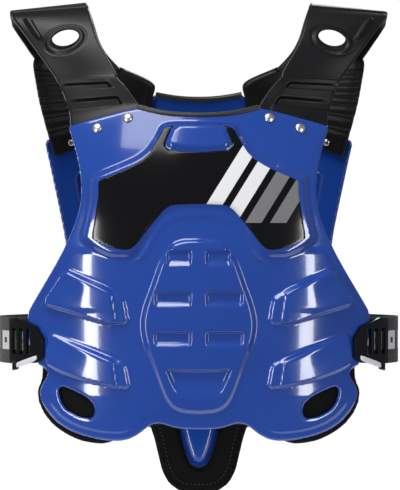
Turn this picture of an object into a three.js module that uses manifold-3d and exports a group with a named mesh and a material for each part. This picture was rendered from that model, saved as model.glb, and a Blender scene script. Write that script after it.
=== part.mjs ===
// Roost deflector: a moulded chest plate and back plate for off-road riding, joined over the
// shoulders by two moulded straps and round the waist by two elastic straps with ladder buckles.
// Millimetres. X to the wearer's left, the chest faces -Y, Z up, and the shoulders carry it at z = 0.
import * as THREE from "three";
import { LoftGeometry } from "three/addons/geometries/LoftGeometry.js";
import { TessellateModifier } from "three/addons/modifiers/TessellateModifier.js";
import { mergeVertices } from "three/addons/utils/BufferGeometryUtils.js";
import Module from "manifold-3d";

const wasm = await Module();
wasm.setup();

// Clearances and walls
const SEAT_GAP = 0.5; // between pieces that lie on each other
const PLATE_WALL = 3;
const FOAM_GAP = 0.9; // between a plate and the foam behind it
const FOAM_WALL = 7;
const STRAP_GAP = 0.8; // between a plate and the strap end behind it
const STRAP_WALL = 7;

const CREST_HEIGHT = 8; // top of the shoulder straps

// Chest plate
const CHEST_HALF_WIDTH = 181;
const SIDE_ROOM = 35; // from the chest plate's side out to the side of the body
const TORSO_HALF_WIDTH = CHEST_HALF_WIDTH + SIDE_ROOM; // of the body that both plates follow
const CHEST_HEIGHT = 350;
const CHEST_TOP = -110; // its neck corners
const CHEST = {
  side: -1,
  depth: 122, // how far its fullest line stands in front of the shoulders' middle
  sweep: 119, // how far its sides run back at the torso's full width
  fullDown: 0.514, // height of the fullest line, a share of the plate's height
  topSetBack: 36.5,
  hemSetBack: 15,
  top: CHEST_TOP,
  height: CHEST_HEIGHT,
};
const PLATFORM_RISE = 6;
const BOSS_RISE = 4;
const OVAL_RISE = 4;
const FIN_RISE = 7;
const DENT_DEPTH = 3.5;
const DECAL_GAP = 1;
const DECAL_WALL = 0.8;
const DECAL_HOLE_INSET = 1.5; // of the decal's hole from the foot of the boss, whose sides slope in

// Back plate
const BACK_HALF_WIDTH = 172;
const BACK_HEIGHT = 434;
const BACK_TOP = -84;
const BACK = {
  side: 1,
  depth: 112,
  sweep: 105,
  fullDown: 0.336,
  topSetBack: 24,
  hemSetBack: 25,
  top: BACK_TOP,
  height: BACK_HEIGHT,
};
const SPINE_RISE = 4;
const BLADE_RISE = 4;
const CHANNEL_DEPTH = 8; // the channel pressed inwards at the foot of the spine

// Neck edging, a rubber channel pushed over the edge of a plate
const EDGING_LIP = 2.4;
const EDGING_CROWN = 2.6;
const EDGING_GRIP = 3.4;

// Rivets
const RIVET_HEAD_RADIUS = 5.2;
const RIVET_HEAD_HEIGHT = 3;
const RIVET_SHANK_RADIUS = 2;
const RIVET_TAIL_RADIUS = 3.8;
const RIVET_TAIL_HEIGHT = 1.2;
const RIVET_CLEARANCE = 0.3;

// Side buckles and webbing
const WEBBING_WIDTH = 50;
const WEBBING_WALL = 2;
const WEBBING_LEVEL = -357;
const BUCKLE_HEIGHT = 48;
const BUCKLE_WALL = 4;
const BUCKLE_LAP = 20; // over the chest plate's side
const BUCKLE_REACH = 16; // past it
const BUCKLE_INNER = CHEST_HALF_WIDTH - BUCKLE_LAP;
const BUCKLE_OUTER = CHEST_HALF_WIDTH + BUCKLE_REACH;
const BUCKLE_SLOT = 4;
const BUCKLE_SLOT_HEIGHT = 27;
const BUCKLE_BAR = 3.6;
const PEG_RADIUS = 2; // pegs behind the buckle that hold the webbing's end
const PEG_SPACING = 24;
const WEBBING_STEPS = 36;
const WEBBING_RIVET_ACROSS = 0.85; // share of the back plate's half width

// Outlines of one half, each row across and down, shares of the plate's half width and height.
// A row at 0 across is left out where the edge crosses the middle straight.
const CHEST_NECK = [
  [0, 0.027],
  [0.174, 0.022],
  [0.291, 0.009],
  [0.347, 0],
];
const CHEST_SIDE = [
  [0.75, 0.053],
  [0.758, 0.062],
  [0.724, 0.115],
  [0.695, 0.17],
  [0.68, 0.219],
  [0.678, 0.261],
  [0.683, 0.297],
  [0.703, 0.336],
  [0.736, 0.381],
  [0.792, 0.441],
  [0.855, 0.498],
  [0.931, 0.562],
  [1, 0.621],
  [1, 0.688],
  [0.936, 0.775],
  [0.893, 0.786],
  [0.872, 0.804],
  [0.915, 0.841],
  [0.927, 0.86],
  [0.919, 0.884],
  [0.883, 0.917],
  [0.829, 0.948],
  [0.757, 0.971],
  [0.686, 0.985],
  [0.521, 1],
  [0.451, 1],
  [0.399, 0.994],
  [0.346, 0.979],
  [0.276, 0.949],
  [0.219, 0.944],
  [0.127, 0.96],
  [0, 0.963],
];
const PLATFORM_TOP_EDGE = [
  [0.17, 0.045],
  [0.245, 0.06],
  [0.275, 0.1],
  [0.34, 0.14],
  [0.47, 0.172],
  [0.632, 0.208],
  [0.634, 0.279],
  [0.65, 0.33],
  [0.68, 0.396],
  [0.6, 0.436],
  [0.5, 0.462],
  [0.38, 0.462],
  [0.3, 0.44],
  [0.245, 0.395],
  [0.19, 0.35],
  [0.13, 0.335],
  [0, 0.332],
];
const DECAL_EDGE = [
  [0.155, 0.066],
  [0.2, 0.075],
  [0.225, 0.1],
  [0.29, 0.158],
  [0.4, 0.195],
  [0.555, 0.228],
  [0.563, 0.268],
  [0.578, 0.325],
  [0.602, 0.395],
  [0.51, 0.421],
  [0.44, 0.428],
  [0.385, 0.428],
  [0.3, 0.38],
  [0.25, 0.345],
  [0.195, 0.312],
  [0.15, 0.299],
  [0, 0.296],
];
const BOSS_EDGE = [
  [0.136, 0.06],
  [0.2, 0.14],
  [0, 0.147],
];
const OVAL_EDGE = [
  [0, 0.395],
  [0.143, 0.405],
  [0.2, 0.441],
  [0.24, 0.488],
  [0.301, 0.577],
  [0.33, 0.643],
  [0.315, 0.702],
  [0.264, 0.774],
  [0.224, 0.833],
  [0.19, 0.875],
  [0.135, 0.906],
  [0, 0.917],
];
// Dents of the oval: near and far ends across, top and bottom down
const DENTS = [
  { near: 0.042, far: 0.18, top: 0.432, foot: 0.479 },
  { near: 0.042, far: 0.249, top: 0.553, foot: 0.599 },
  { near: 0.042, far: 0.252, top: 0.67, foot: 0.716 },
];
const MOUTH_DENT = [
  [-0.192, 0.781],
  [-0.121, 0.869],
  [0.121, 0.869],
  [0.192, 0.781],
];
const UPPER_FIN = [
  [0.385, 0.648],
  [0.415, 0.565],
  [0.646, 0.507],
  [0.765, 0.479],
  [0.872, 0.59],
  [0.679, 0.627],
  [0.529, 0.65],
];
const LOWER_FIN = [
  [0.378, 0.846],
  [0.408, 0.764],
  [0.62, 0.719],
  [0.862, 0.676],
  [0.862, 0.776],
  [0.663, 0.819],
];
const VENT = [
  [0.791, 0.836],
  [0.648, 0.867],
  [0.602, 0.891],
  [0.596, 0.918],
  [0.62, 0.935],
  [0.685, 0.93],
  [0.762, 0.911],
  [0.798, 0.884],
  [0.812, 0.851],
];
const CHEST_RIVETS = [
  [0.41, 0.034],
  [0.589, 0.064],
];
const FRONT_FOAM_EDGE = [
  [0, 0.05],
  [0.26, 0.038],
  [0.3, 0.1],
  [0.7, 0.16],
  [0.66, 0.22],
  [0.66, 0.3],
  [0.72, 0.4],
  [0.84, 0.52],
  [0.96, 0.64],
  [0.96, 0.7],
  [0.925, 0.782],
  [0.93, 0.825],
  [0.96, 0.858],
  [0.952, 0.892],
  [0.916, 0.931],
  [0.857, 0.964],
  [0.78, 0.989],
  [0.7, 1.006],
  [0.55, 1.014],
  [0.43, 0.99],
  [0.33, 0.955],
  [0, 0.95],
];
const BACK_NECK = [
  [0, 0.013],
  [0.174, 0.009],
  [0.283, 0],
];
const BACK_SIDE = [
  [0.335, 0.018],
  [0.985, 0.12],
  [1, 0.135],
  [0.99, 0.15],
  [0.917, 0.295],
  [0.87, 0.406],
  [0.872, 0.498],
  [0.907, 0.59],
  [0.918, 0.671],
  [0.884, 0.74],
  [0.785, 0.802],
  [0.581, 0.855],
  [0.36, 0.868],
  [0.26, 0.89],
  [0.235, 0.94],
  [0.19, 0.98],
  [0.1, 1],
];
const SPINE_PANEL = [
  [0, 0.11],
  [0.18, 0.125],
  [0.25, 0.25],
  [0.22, 0.45],
  [0.3, 0.6],
  [0.28, 0.74],
  [0.16, 0.8],
  [0, 0.81],
];
const BLADE_PANEL = [
  [0.34, 0.15],
  [0.84, 0.19],
  [0.79, 0.29],
  [0.74, 0.39],
  [0.5, 0.43],
  [0.33, 0.4],
];
const CHANNEL = [
  [0.125, 0.82],
  [0.1, 0.89],
  [0.05, 0.955],
  [0, 0.968],
];
const BACK_RIVETS = [
  [0.47, 0.085],
  [0.855, 0.124],
];
const BACK_FOAM_EDGE = [
  [0.24, 0.06],
  [0.29, 0.13],
  [0.73, 0.22],
  [0.74, 0.31],
  [0.74, 0.41],
  [0.76, 0.5],
  [0.8, 0.6],
  [0.8, 0.7],
  [0.7, 0.78],
  [0.45, 0.84],
  [0.33, 0.86],
  [0.293, 0.905],
  [0.27, 0.945],
  [0.245, 0.985],
  [0.2, 1.015],
  [0.12, 1.038],
  [0, 1.044],
];

// Shoulder strap, from its front end to its back end. The edges across are shares of the chest
// plate's half width. The heights down are shares of the way from the crest to that plate's neck
// corner. out is a share of the plate's depth, or null where the strap lies on the plate's form,
// and yaw is how much of the plate's sweep the strap takes.
const STRAP_ROWS = [
  { plate: CHEST, inner: 0.348, innerDown: 1.229, outer: 0.69, outerDown: 1.33, out: null, yaw: 1 },
  { plate: CHEST, inner: 0.348, innerDown: 1, outer: 0.751, outerDown: 1.161, out: null, yaw: 1 },
  { plate: CHEST, inner: 0.365, innerDown: 0.941, outer: 0.765, outerDown: 1.017, out: null, yaw: 1 },
  { plate: CHEST, inner: 0.431, innerDown: 0.797, outer: 0.807, outerDown: 0.839, out: 0.525, yaw: 0.9 },
  { plate: CHEST, inner: 0.481, innerDown: 0.712, outer: 0.843, outerDown: 0.729, out: 0.497, yaw: 0.8 },
  { plate: CHEST, inner: 0.492, innerDown: 0.653, outer: 0.871, outerDown: 0.653, out: 0.475, yaw: 0.7 },
  { plate: CHEST, inner: 0.591, innerDown: 0.378, outer: 1, outerDown: 0.378, out: 0.38, yaw: 0.4 },
  { plate: CHEST, inner: 0.635, innerDown: 0.161, outer: 1.102, outerDown: 0.161, out: 0.27, yaw: 0.2 },
  { plate: CHEST, inner: 0.661, innerDown: 0.025, outer: 1.133, outerDown: 0.076, out: 0.145, yaw: 0.1 },
  { plate: BACK, inner: 0.678, innerDown: -0.034, outer: 1.144, outerDown: 0.068, out: 0.03, yaw: 0 },
  { plate: BACK, inner: 0.669, innerDown: 0.01, outer: 1.144, outerDown: 0.115, out: 0.22, yaw: 0.1 },
  { plate: BACK, inner: 0.646, innerDown: 0.154, outer: 1.138, outerDown: 0.202, out: 0.345, yaw: 0.2 },
  { plate: BACK, inner: 0.619, innerDown: 0.337, outer: 1.094, outerDown: 0.356, out: 0.43, yaw: 0.35 },
  { plate: BACK, inner: 0.575, innerDown: 0.5, outer: 1.05, outerDown: 0.5, out: 0.475, yaw: 0.55 },
  { plate: BACK, inner: 0.5, innerDown: 0.66, outer: 1.0, outerDown: 0.65, out: 0.5, yaw: 0.8 },
  { plate: BACK, inner: 0.46, innerDown: 0.69, outer: 1.015, outerDown: 0.69, out: 0.515, yaw: 0.9 },
  { plate: BACK, inner: 0.287, innerDown: 0.85, outer: 1.0, outerDown: 0.885, out: null, yaw: 1 },
  { plate: BACK, inner: 0.287, innerDown: 1.03, outer: 0.972, outerDown: 1.2, out: null, yaw: 1 },
  { plate: BACK, inner: 0.309, innerDown: 1.28, outer: 0.9, outerDown: 1.76, out: null, yaw: 1 },
];
// Grooves across the saddles, at places counted in rows of the table
const STRAP_GROOVES = [2.25, 3.3, 15.55, 16.2, 16.5, 16.8];
const GROOVE_HALF_WIDTH = 0.12;
const GROOVE_SLOPE = 0.05;
const GROOVE_DEPTH = 3.5;
const STRAP_SPANS = 4;
const STRAP_OVAL = { half: 16, rise: 10.5, tilt: 0.33 };
// Middles of the strap's two oval holes: across, and down from the crest, in the table's shares
const STRAP_OVALS = [
  { plate: CHEST, across: 0.796, down: 0.355 },
  { plate: BACK, across: 0.82, down: 0.32 },
];

// Colours
const FINISHES = {
  blue: { color: 0x2a4aa6, roughness: 0.18, metalness: 0 },
  black_gloss: { color: 0x0a0a0c, roughness: 0.15, metalness: 0 },
  charcoal: { color: 0x262628, roughness: 0.6, metalness: 0 },
  foam: { color: 0x151516, roughness: 0.9, metalness: 0 },
  rubber: { color: 0x1b1b1c, roughness: 0.55, metalness: 0 },
  webbing: { color: 0x18181a, roughness: 0.95, metalness: 0 },
  nickel: { color: 0xc8c9cc, roughness: 0.2, metalness: 1 },
};

// Distance in front of or behind the shoulders' middle of a plate's inner face
function reach(plate, x, z) {
  const full = plate.top - plate.fullDown * plate.height;
  const span = z > full ? plate.top - full : full - (plate.top - plate.height);
  const setBack = z > full ? plate.topSetBack : plate.hemSetBack;
  const round = Math.sqrt(Math.max(0, 1 - (x / TORSO_HALF_WIDTH) ** 2));
  return plate.depth - setBack * ((z - full) / span) ** 2 - plate.sweep * (1 - round);
}

function facePoint(plate, x, z) {
  return new THREE.Vector3(x, plate.side * reach(plate, x, z), z);
}

function faceNormal(plate, x, z) {
  const step = 0.5;
  const across = facePoint(plate, x + step, z).sub(facePoint(plate, x - step, z));
  const up = facePoint(plate, x, z + step).sub(facePoint(plate, x, z - step));
  return across.cross(up).multiplyScalar(-plate.side).normalize();
}

// Joins and cuts work on solids, and a solid faces outwards whichever way its geometry wound
function solid(geometry) {
  const bare = new THREE.BufferGeometry();
  bare.setAttribute("position", geometry.getAttribute("position").clone());
  if (geometry.index) bare.setIndex(geometry.index.clone());
  const merged = mergeVertices(bare, 1e-4);
  const corners = new Uint32Array(merged.index.array);
  const points = merged.getAttribute("position").array;
  const made = new wasm.Manifold(new wasm.Mesh({ numProp: 3, vertProperties: points, triVerts: corners }));
  if (made.volume() > 0) return made;
  for (let i = 0; i < corners.length; i += 3) {
    [corners[i + 1], corners[i + 2]] = [corners[i + 2], corners[i + 1]];
  }
  return new wasm.Manifold(new wasm.Mesh({ numProp: 3, vertProperties: points, triVerts: corners }));
}

function geometryOf(made) {
  const mesh = made.getMesh();
  const geometry = new THREE.BufferGeometry();
  const points = new Float32Array(mesh.numVert * 3);
  for (let i = 0; i < mesh.numVert; i += 1) {
    const start = i * mesh.numProp;
    points.set(mesh.vertProperties.subarray(start, start + 3), i * 3);
  }
  geometry.setAttribute("position", new THREE.BufferAttribute(points, 3));
  geometry.setIndex(new THREE.BufferAttribute(mesh.triVerts, 1));
  return geometry;
}

// A flat outline from a table of one half, in the plate's own millimetres
function halfPoints(plate, halfWidth, table) {
  return table.map(([across, down]) => new THREE.Vector2(across * halfWidth, plate.top - down * plate.height));
}

function mirrored(points) {
  const other = points.filter((p) => p.x > 0).map((p) => new THREE.Vector2(-p.x, p.y));
  return [...points, ...other.reverse()];
}

function oneSide(points, sign) {
  return points.map((p) => new THREE.Vector2(sign * p.x, p.y));
}

// Moves each corner of an outline inwards, square to its two sides
function inset(points, distance) {
  const turn = Math.sign(THREE.ShapeUtils.area(points));
  return points.map((p, i) => {
    const before = points[(i + points.length - 1) % points.length];
    const after = points[(i + 1) % points.length];
    const a = p.clone().sub(before).normalize();
    const b = after.clone().sub(p).normalize();
    const normal = new THREE.Vector2(-(a.y + b.y), a.x + b.x).normalize();
    const lean = Math.max(0.5, normal.x * -a.y + normal.y * a.x);
    return p.clone().addScaledVector(normal, (turn * distance) / lean);
  });
}

// A straight-sided flat slab from one offset to another
function slab(points, from, to) {
  const geometry = new THREE.ExtrudeGeometry(new THREE.Shape(points), {
    depth: to - from,
    bevelEnabled: false,
  });
  return solid(geometry.translate(0, 0, from));
}

// A closed loft, with its sections turned the way round that faces its walls outwards
function loft(sections) {
  const middle = (points) => points.reduce((sum, p) => sum.add(p), new THREE.Vector3()).divideScalar(points.length);
  const [first, second] = sections;
  const heading = middle(second).sub(middle(first));
  const normal = first.reduce((sum, p, i) => {
    const a = p.clone().sub(first[0]);
    const b = first[(i + 1) % first.length].clone().sub(first[0]);
    return sum.add(a.cross(b));
  }, new THREE.Vector3());
  const ordered = normal.dot(heading) > 0 ? sections : sections.map((points) => [...points].reverse());
  return solid(new LoftGeometry(ordered, { capStart: true, capEnd: true }));
}

// A flat slab whose sides slope in by slope between its two offsets
function mesa(points, slope, from, to) {
  const foot = points.map((p) => new THREE.Vector3(p.x, p.y, from));
  const crest = inset(points, slope).map((p) => new THREE.Vector3(p.x, p.y, to));
  return loft([foot, crest]);
}

// Raises a pressed form on a flat plate and, where it is high, hollows it from behind
function press(flat, points, slope, rise, hollow) {
  const raised = flat.add(mesa(points, slope, PLATE_WALL / 2, PLATE_WALL + rise));
  if (!hollow) return raised;
  return raised.subtract(mesa(inset(points, PLATE_WALL / 2), slope, -1, rise));
}

// Bends a flat solid over a plate's form: its third coordinate becomes the offset outwards
function bend(flat, plate, longest) {
  const grid = 1024;
  const source = geometryOf(flat).toNonIndexed();
  const array = source.getAttribute("position").array;
  for (let i = 0; i < array.length; i += 1) array[i] = Math.round(array[i] * grid) / grid;
  // The forms curve less upwards than across, so the heights count for less in an edge's length
  const fine = new TessellateModifier(longest, 14).modify(source.scale(1, 0.5, 1)).scale(1, 2, 1);
  const position = fine.getAttribute("position");
  for (let i = 0; i < position.count; i += 1) {
    const x = -plate.side * position.getX(i);
    const z = position.getY(i);
    const point = facePoint(plate, x, z);
    point.addScaledVector(faceNormal(plate, x, z), position.getZ(i));
    position.setXYZ(i, point.x, point.y, point.z);
  }
  return geometryOf(solid(fine));
}

const root = new THREE.Group();
const materials = Object.fromEntries(
  Object.entries(FINISHES).map(([name, finish]) => [name, new THREE.MeshStandardMaterial(finish)]),
);

function addPiece(name, geometry, finish) {
  const mesh = new THREE.Mesh(geometry, materials[finish].clone());
  mesh.name = name;
  root.add(mesh);
  return mesh;
}

// Adds a piece of the +X side and its mirror image on the other side
function addPair(name, geometry, finish) {
  addPiece(`${name}_left`, geometry, finish);
  addPiece(`${name}_right`, geometry, finish).scale.x = -1;
}

function rod(x, z, radius, from, to) {
  const geometry = new THREE.CylinderGeometry(radius, radius, to - from, 8).rotateX(Math.PI / 2);
  return solid(geometry.translate(x, z, (from + to) / 2));
}

function rivetHoles(flat, points) {
  let cut = flat;
  const radius = RIVET_SHANK_RADIUS + RIVET_CLEARANCE;
  for (const { x, y } of points) {
    for (const sign of [-1, 1]) cut = cut.subtract(rod(sign * x, y, radius, -1, PLATE_WALL + 1));
  }
  return cut;
}

// Chest plate
const chestEdge = mirrored(halfPoints(CHEST, CHEST_HALF_WIDTH, [...CHEST_NECK, ...CHEST_SIDE]));

function chestPlate() {
  const half = (table) => halfPoints(CHEST, CHEST_HALF_WIDTH, table);
  let flat = slab(chestEdge, 0, PLATE_WALL);
  flat = press(flat, mirrored(half(PLATFORM_TOP_EDGE)), 7, PLATFORM_RISE, true);
  flat = flat.add(
    mesa(mirrored(half(BOSS_EDGE)), 5, PLATE_WALL + PLATFORM_RISE / 2, PLATE_WALL + PLATFORM_RISE + BOSS_RISE),
  );
  flat = press(flat, mirrored(half(OVAL_EDGE)), 4, OVAL_RISE, false);
  const face = PLATE_WALL + OVAL_RISE;
  for (const sign of [-1, 1]) {
    flat = press(flat, oneSide(half(UPPER_FIN), sign), 6, FIN_RISE, true);
    flat = press(flat, oneSide(half(LOWER_FIN), sign), 6, FIN_RISE, true);
    flat = flat.subtract(slab(oneSide(half(VENT), sign), -1, PLATE_WALL + FIN_RISE));
    for (const { near, far, top, foot } of DENTS) {
      const corners = half([
        [near, top],
        [near, foot],
        [far, foot],
        [far, top],
      ]);
      flat = flat.subtract(slab(oneSide(corners, sign), face - DENT_DEPTH, face + 1));
    }
  }
  flat = flat.subtract(slab(half(MOUTH_DENT), face - DENT_DEPTH, face + 1));
  return rivetHoles(flat, half(CHEST_RIVETS));
}

addPiece("chest_plate", bend(chestPlate(), CHEST, 32), "blue");

// Printed decal on the raised platform
const decalSeat = PLATE_WALL + PLATFORM_RISE + DECAL_GAP;
const bossEdge = mirrored(halfPoints(CHEST, CHEST_HALF_WIDTH, BOSS_EDGE));
const decalHole = slab(inset(bossEdge, DECAL_HOLE_INSET), decalSeat - 1, decalSeat + DECAL_WALL + 1);
const decal = slab(mirrored(halfPoints(CHEST, CHEST_HALF_WIDTH, DECAL_EDGE)), decalSeat, decalSeat + DECAL_WALL);
addPiece("chest_decal", bend(decal.subtract(decalHole), CHEST, 34), "black_gloss");

// Neck edging: a channel over the plate's neck edge
function neckEdging(plate, halfWidth, table) {
  const edge = halfPoints(plate, halfWidth, table);
  const line = [...oneSide(edge.slice(1), -1).reverse(), ...edge];
  const strip = (up, down) => [
    ...line.map((p) => new THREE.Vector2(p.x, p.y + up)),
    ...[...line].reverse().map((p) => new THREE.Vector2(p.x, p.y - down)),
  ];
  const block = slab(strip(EDGING_CROWN, EDGING_GRIP), -EDGING_LIP, PLATE_WALL + EDGING_LIP);
  const groove = slab(strip(SEAT_GAP, EDGING_GRIP + 1), -SEAT_GAP, PLATE_WALL + SEAT_GAP);
  const ends = slab(strip(EDGING_CROWN + 1, EDGING_GRIP + 1), -EDGING_LIP - 1, PLATE_WALL + EDGING_LIP + 1);
  return bend(block.subtract(groove).intersect(ends), plate, 24);
}

addPiece("chest_neck_edging", neckEdging(CHEST, CHEST_HALF_WIDTH, CHEST_NECK), "rubber");

// Foam liners
function liner(plate, halfWidth, table) {
  const edge = mirrored(halfPoints(plate, halfWidth, table));
  return slab(edge, -FOAM_GAP - FOAM_WALL, -FOAM_GAP);
}

addPiece("chest_liner", bend(liner(CHEST, CHEST_HALF_WIDTH, FRONT_FOAM_EDGE), CHEST, 34), "foam");

// The rivet that holds a webbing's back end, on the back plate's side
const webbingRivet = new THREE.Vector2(WEBBING_RIVET_ACROSS * BACK_HALF_WIDTH, WEBBING_LEVEL);

// Back plate, with the channel pressed inwards through a gap in its liner
function backPlate() {
  const half = (table) => halfPoints(BACK, BACK_HALF_WIDTH, table);
  let flat = slab(mirrored(half([...BACK_NECK, ...BACK_SIDE])), 0, PLATE_WALL);
  flat = press(flat, mirrored(half(SPINE_PANEL)), 6, SPINE_RISE, false);
  for (const sign of [-1, 1]) {
    flat = press(flat, oneSide(half(BLADE_PANEL), sign), 6, BLADE_RISE, false);
  }
  flat = flat.add(slab(mirrored(half(CHANNEL)), -CHANNEL_DEPTH, PLATE_WALL / 2));
  return rivetHoles(flat, [...half(BACK_RIVETS), webbingRivet]);
}

addPiece("back_plate", bend(backPlate(), BACK, 32), "blue");
addPiece("back_neck_edging", neckEdging(BACK, BACK_HALF_WIDTH, BACK_NECK), "rubber");

const channelGap = slab(
  inset(mirrored(halfPoints(BACK, BACK_HALF_WIDTH, CHANNEL)), -1),
  -FOAM_WALL - FOAM_GAP - 1,
  0,
);
addPiece(
  "back_liner",
  bend(liner(BACK, BACK_HALF_WIDTH, BACK_FOAM_EDGE).subtract(channelGap), BACK, 30),
  "foam",
);

// Shoulder straps
function strapRow(place) {
  const index = Math.min(STRAP_ROWS.length - 2, Math.floor(place));
  return rowPoints(index).map((p, i) => p.clone().lerp(rowPoints(index + 1)[i], place - index));
}

function rowPoints(index) {
  const row = STRAP_ROWS[index];
  const { plate } = row;
  const height = (down) => CREST_HEIGHT - down * (CREST_HEIGHT - plate.top);
  const start = new THREE.Vector2(row.inner * CHEST_HALF_WIDTH, height(row.innerDown));
  const end = new THREE.Vector2(row.outer * CHEST_HALF_WIDTH, height(row.outerDown));
  const middle = start.clone().lerp(end, 0.5);
  const points = [];
  for (let i = 0; i <= STRAP_SPANS; i += 1) {
    const at = start.clone().lerp(end, i / STRAP_SPANS);
    const lying = reach(plate, at.x, at.y) - STRAP_GAP;
    const free = plate.depth * row.out;
    const turn = row.yaw * (reach(plate, at.x, middle.y) - reach(plate, middle.x, middle.y));
    const depth = row.out === null ? lying : free + turn;
    points.push(new THREE.Vector3(at.x, plate.side * depth, at.y));
  }
  return points;
}

function strapSection(place, sink) {
  const ahead = strapRow(Math.min(STRAP_ROWS.length - 1, place + 0.05));
  const behind = strapRow(Math.max(0, place - 0.05));
  const face = strapRow(place);
  const layer = (depth) =>
    face.map((p, i) => {
      const along = ahead[i].clone().sub(behind[i]).normalize();
      const inward = new THREE.Vector3(0, along.z, -along.y).normalize();
      return p.clone().addScaledVector(inward, depth);
    });
  return [...layer(sink), ...layer(STRAP_WALL).reverse()];
}

function strapStations() {
  const rows = STRAP_ROWS.map((row, place) => ({ place, sink: 0 }));
  const clear = rows.filter(({ place }) =>
    STRAP_GROOVES.every((groove) => Math.abs(place - groove) > GROOVE_HALF_WIDTH + GROOVE_SLOPE),
  );
  const grooves = STRAP_GROOVES.flatMap((groove) => [
    { place: groove - GROOVE_HALF_WIDTH - GROOVE_SLOPE, sink: 0 },
    { place: groove - GROOVE_HALF_WIDTH, sink: GROOVE_DEPTH },
    { place: groove + GROOVE_HALF_WIDTH, sink: GROOVE_DEPTH },
    { place: groove + GROOVE_HALF_WIDTH + GROOVE_SLOPE, sink: 0 },
  ]);
  return [...clear, ...grooves].sort((a, b) => a.place - b.place);
}

function ovalHole({ plate, across, down }) {
  const depth = 2 * STRAP_WALL + plate.depth / 2;
  const geometry = new THREE.CylinderGeometry(1, 1, depth, 20);
  geometry.scale(STRAP_OVAL.half, 1, STRAP_OVAL.rise);
  geometry.rotateY(STRAP_OVAL.tilt);
  const x = across * CHEST_HALF_WIDTH;
  const z = CREST_HEIGHT - down * (CREST_HEIGHT - plate.top);
  return solid(geometry.translate(x, (plate.side * depth) / 2, z));
}

// The seat of a rivet: the point on the plate's inner face and the direction outwards
function rivetSeat(plate, { x, y }) {
  return { point: facePoint(plate, x, y), outwards: faceNormal(plate, x, y) };
}

function placed(geometry, { point, outwards }) {
  const turn = new THREE.Quaternion().setFromUnitVectors(new THREE.Vector3(0, 1, 0), outwards);
  return geometry.applyQuaternion(turn).translate(point.x, point.y, point.z);
}

const chestSeats = halfPoints(CHEST, CHEST_HALF_WIDTH, CHEST_RIVETS).map((p) => rivetSeat(CHEST, p));
const backSeats = halfPoints(BACK, BACK_HALF_WIDTH, BACK_RIVETS).map((p) => rivetSeat(BACK, p));
const webbingSeat = rivetSeat(BACK, webbingRivet);

function shoulderStrap() {
  const sections = strapStations().map(({ place, sink }) => strapSection(place, sink));
  let strap = loft(sections);
  for (const oval of STRAP_OVALS) strap = strap.subtract(ovalHole(oval));
  const radius = RIVET_SHANK_RADIUS + RIVET_CLEARANCE;
  for (const seat of [...chestSeats, ...backSeats]) {
    const drill = new THREE.CylinderGeometry(radius, radius, 6 * STRAP_WALL, 8);
    strap = strap.subtract(solid(placed(drill, seat)));
  }
  return geometryOf(strap);
}

addPair("shoulder_strap", shoulderStrap(), "charcoal");

// Rivets: a domed head outside, a shank through plate and strap, and a flat tail inside
function rivet(grip, cover) {
  const under = PLATE_WALL + cover + RIVET_CLEARANCE;
  const top = under + RIVET_HEAD_HEIGHT;
  const inside = -grip - SEAT_GAP;
  const profile = [
    [0, inside - RIVET_TAIL_HEIGHT],
    [RIVET_TAIL_RADIUS, inside - RIVET_TAIL_HEIGHT],
    [RIVET_TAIL_RADIUS, inside],
    [RIVET_SHANK_RADIUS, inside],
    [RIVET_SHANK_RADIUS, under],
    [RIVET_HEAD_RADIUS, under],
    [RIVET_HEAD_RADIUS * 0.7, top - RIVET_HEAD_HEIGHT * 0.25],
    [0, top],
  ];
  return new THREE.LatheGeometry(profile.map(([r, y]) => new THREE.Vector2(r, y)), 8);
}

const strapGrip = STRAP_GAP + STRAP_WALL;
chestSeats.forEach((seat, i) => addPair(`chest_rivet_${i + 1}`, placed(rivet(strapGrip, 0), seat), "nickel"));
backSeats.forEach((seat, i) => addPair(`back_rivet_${i + 1}`, placed(rivet(strapGrip, 0), seat), "nickel"));

// Ladder buckles, each a slotted black moulding over the side edge of the chest plate
const buckleFoot = PLATE_WALL + SEAT_GAP;
const slotPitch = BUCKLE_SLOT + BUCKLE_BAR;
const pegAcross = BUCKLE_OUTER - BUCKLE_BAR - BUCKLE_SLOT - BUCKLE_BAR / 2;

const pegSeats = [-1, 1].map((side) =>
  rivetSeat(CHEST, new THREE.Vector2(pegAcross, WEBBING_LEVEL + (side * PEG_SPACING) / 2)),
);
const pegFoot = buckleFoot - SEAT_GAP - WEBBING_WALL - 1;

function buckle() {
  const low = WEBBING_LEVEL - BUCKLE_HEIGHT / 2;
  const high = WEBBING_LEVEL + BUCKLE_HEIGHT / 2;
  const outline = [
    [BUCKLE_INNER, low + 8],
    [BUCKLE_INNER + 6, low + 2],
    [BUCKLE_OUTER, low],
    [BUCKLE_OUTER, high],
    [BUCKLE_OUTER - 9, high + 1],
    [BUCKLE_INNER + 7, high - 8],
    [BUCKLE_INNER, high - 20],
  ].map(([x, z]) => new THREE.Vector2(x, z));
  let flat = slab(outline, buckleFoot, buckleFoot + BUCKLE_WALL);
  for (let i = 0; i < 3; i += 1) {
    const far = BUCKLE_OUTER - BUCKLE_BAR - i * slotPitch;
    const half = BUCKLE_SLOT_HEIGHT / 2;
    const slot = [
      [far - BUCKLE_SLOT, WEBBING_LEVEL - half],
      [far, WEBBING_LEVEL - half],
      [far, WEBBING_LEVEL + half],
      [far - BUCKLE_SLOT, WEBBING_LEVEL + half],
    ].map(([x, z]) => new THREE.Vector2(x, z));
    flat = flat.subtract(slab(slot, buckleFoot - 1, buckleFoot + BUCKLE_WALL + 1));
  }
  let ladder = solid(bend(flat, CHEST, 12));
  for (const seat of pegSeats) {
    const peg = new THREE.CylinderGeometry(PEG_RADIUS, PEG_RADIUS, buckleFoot + 1 - pegFoot, 8);
    ladder = ladder.add(solid(placed(peg.translate(0, (buckleFoot + 1 + pegFoot) / 2, 0), seat)));
  }
  return geometryOf(ladder);
}

addPair("side_buckle", buckle(), "black_gloss");

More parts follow.
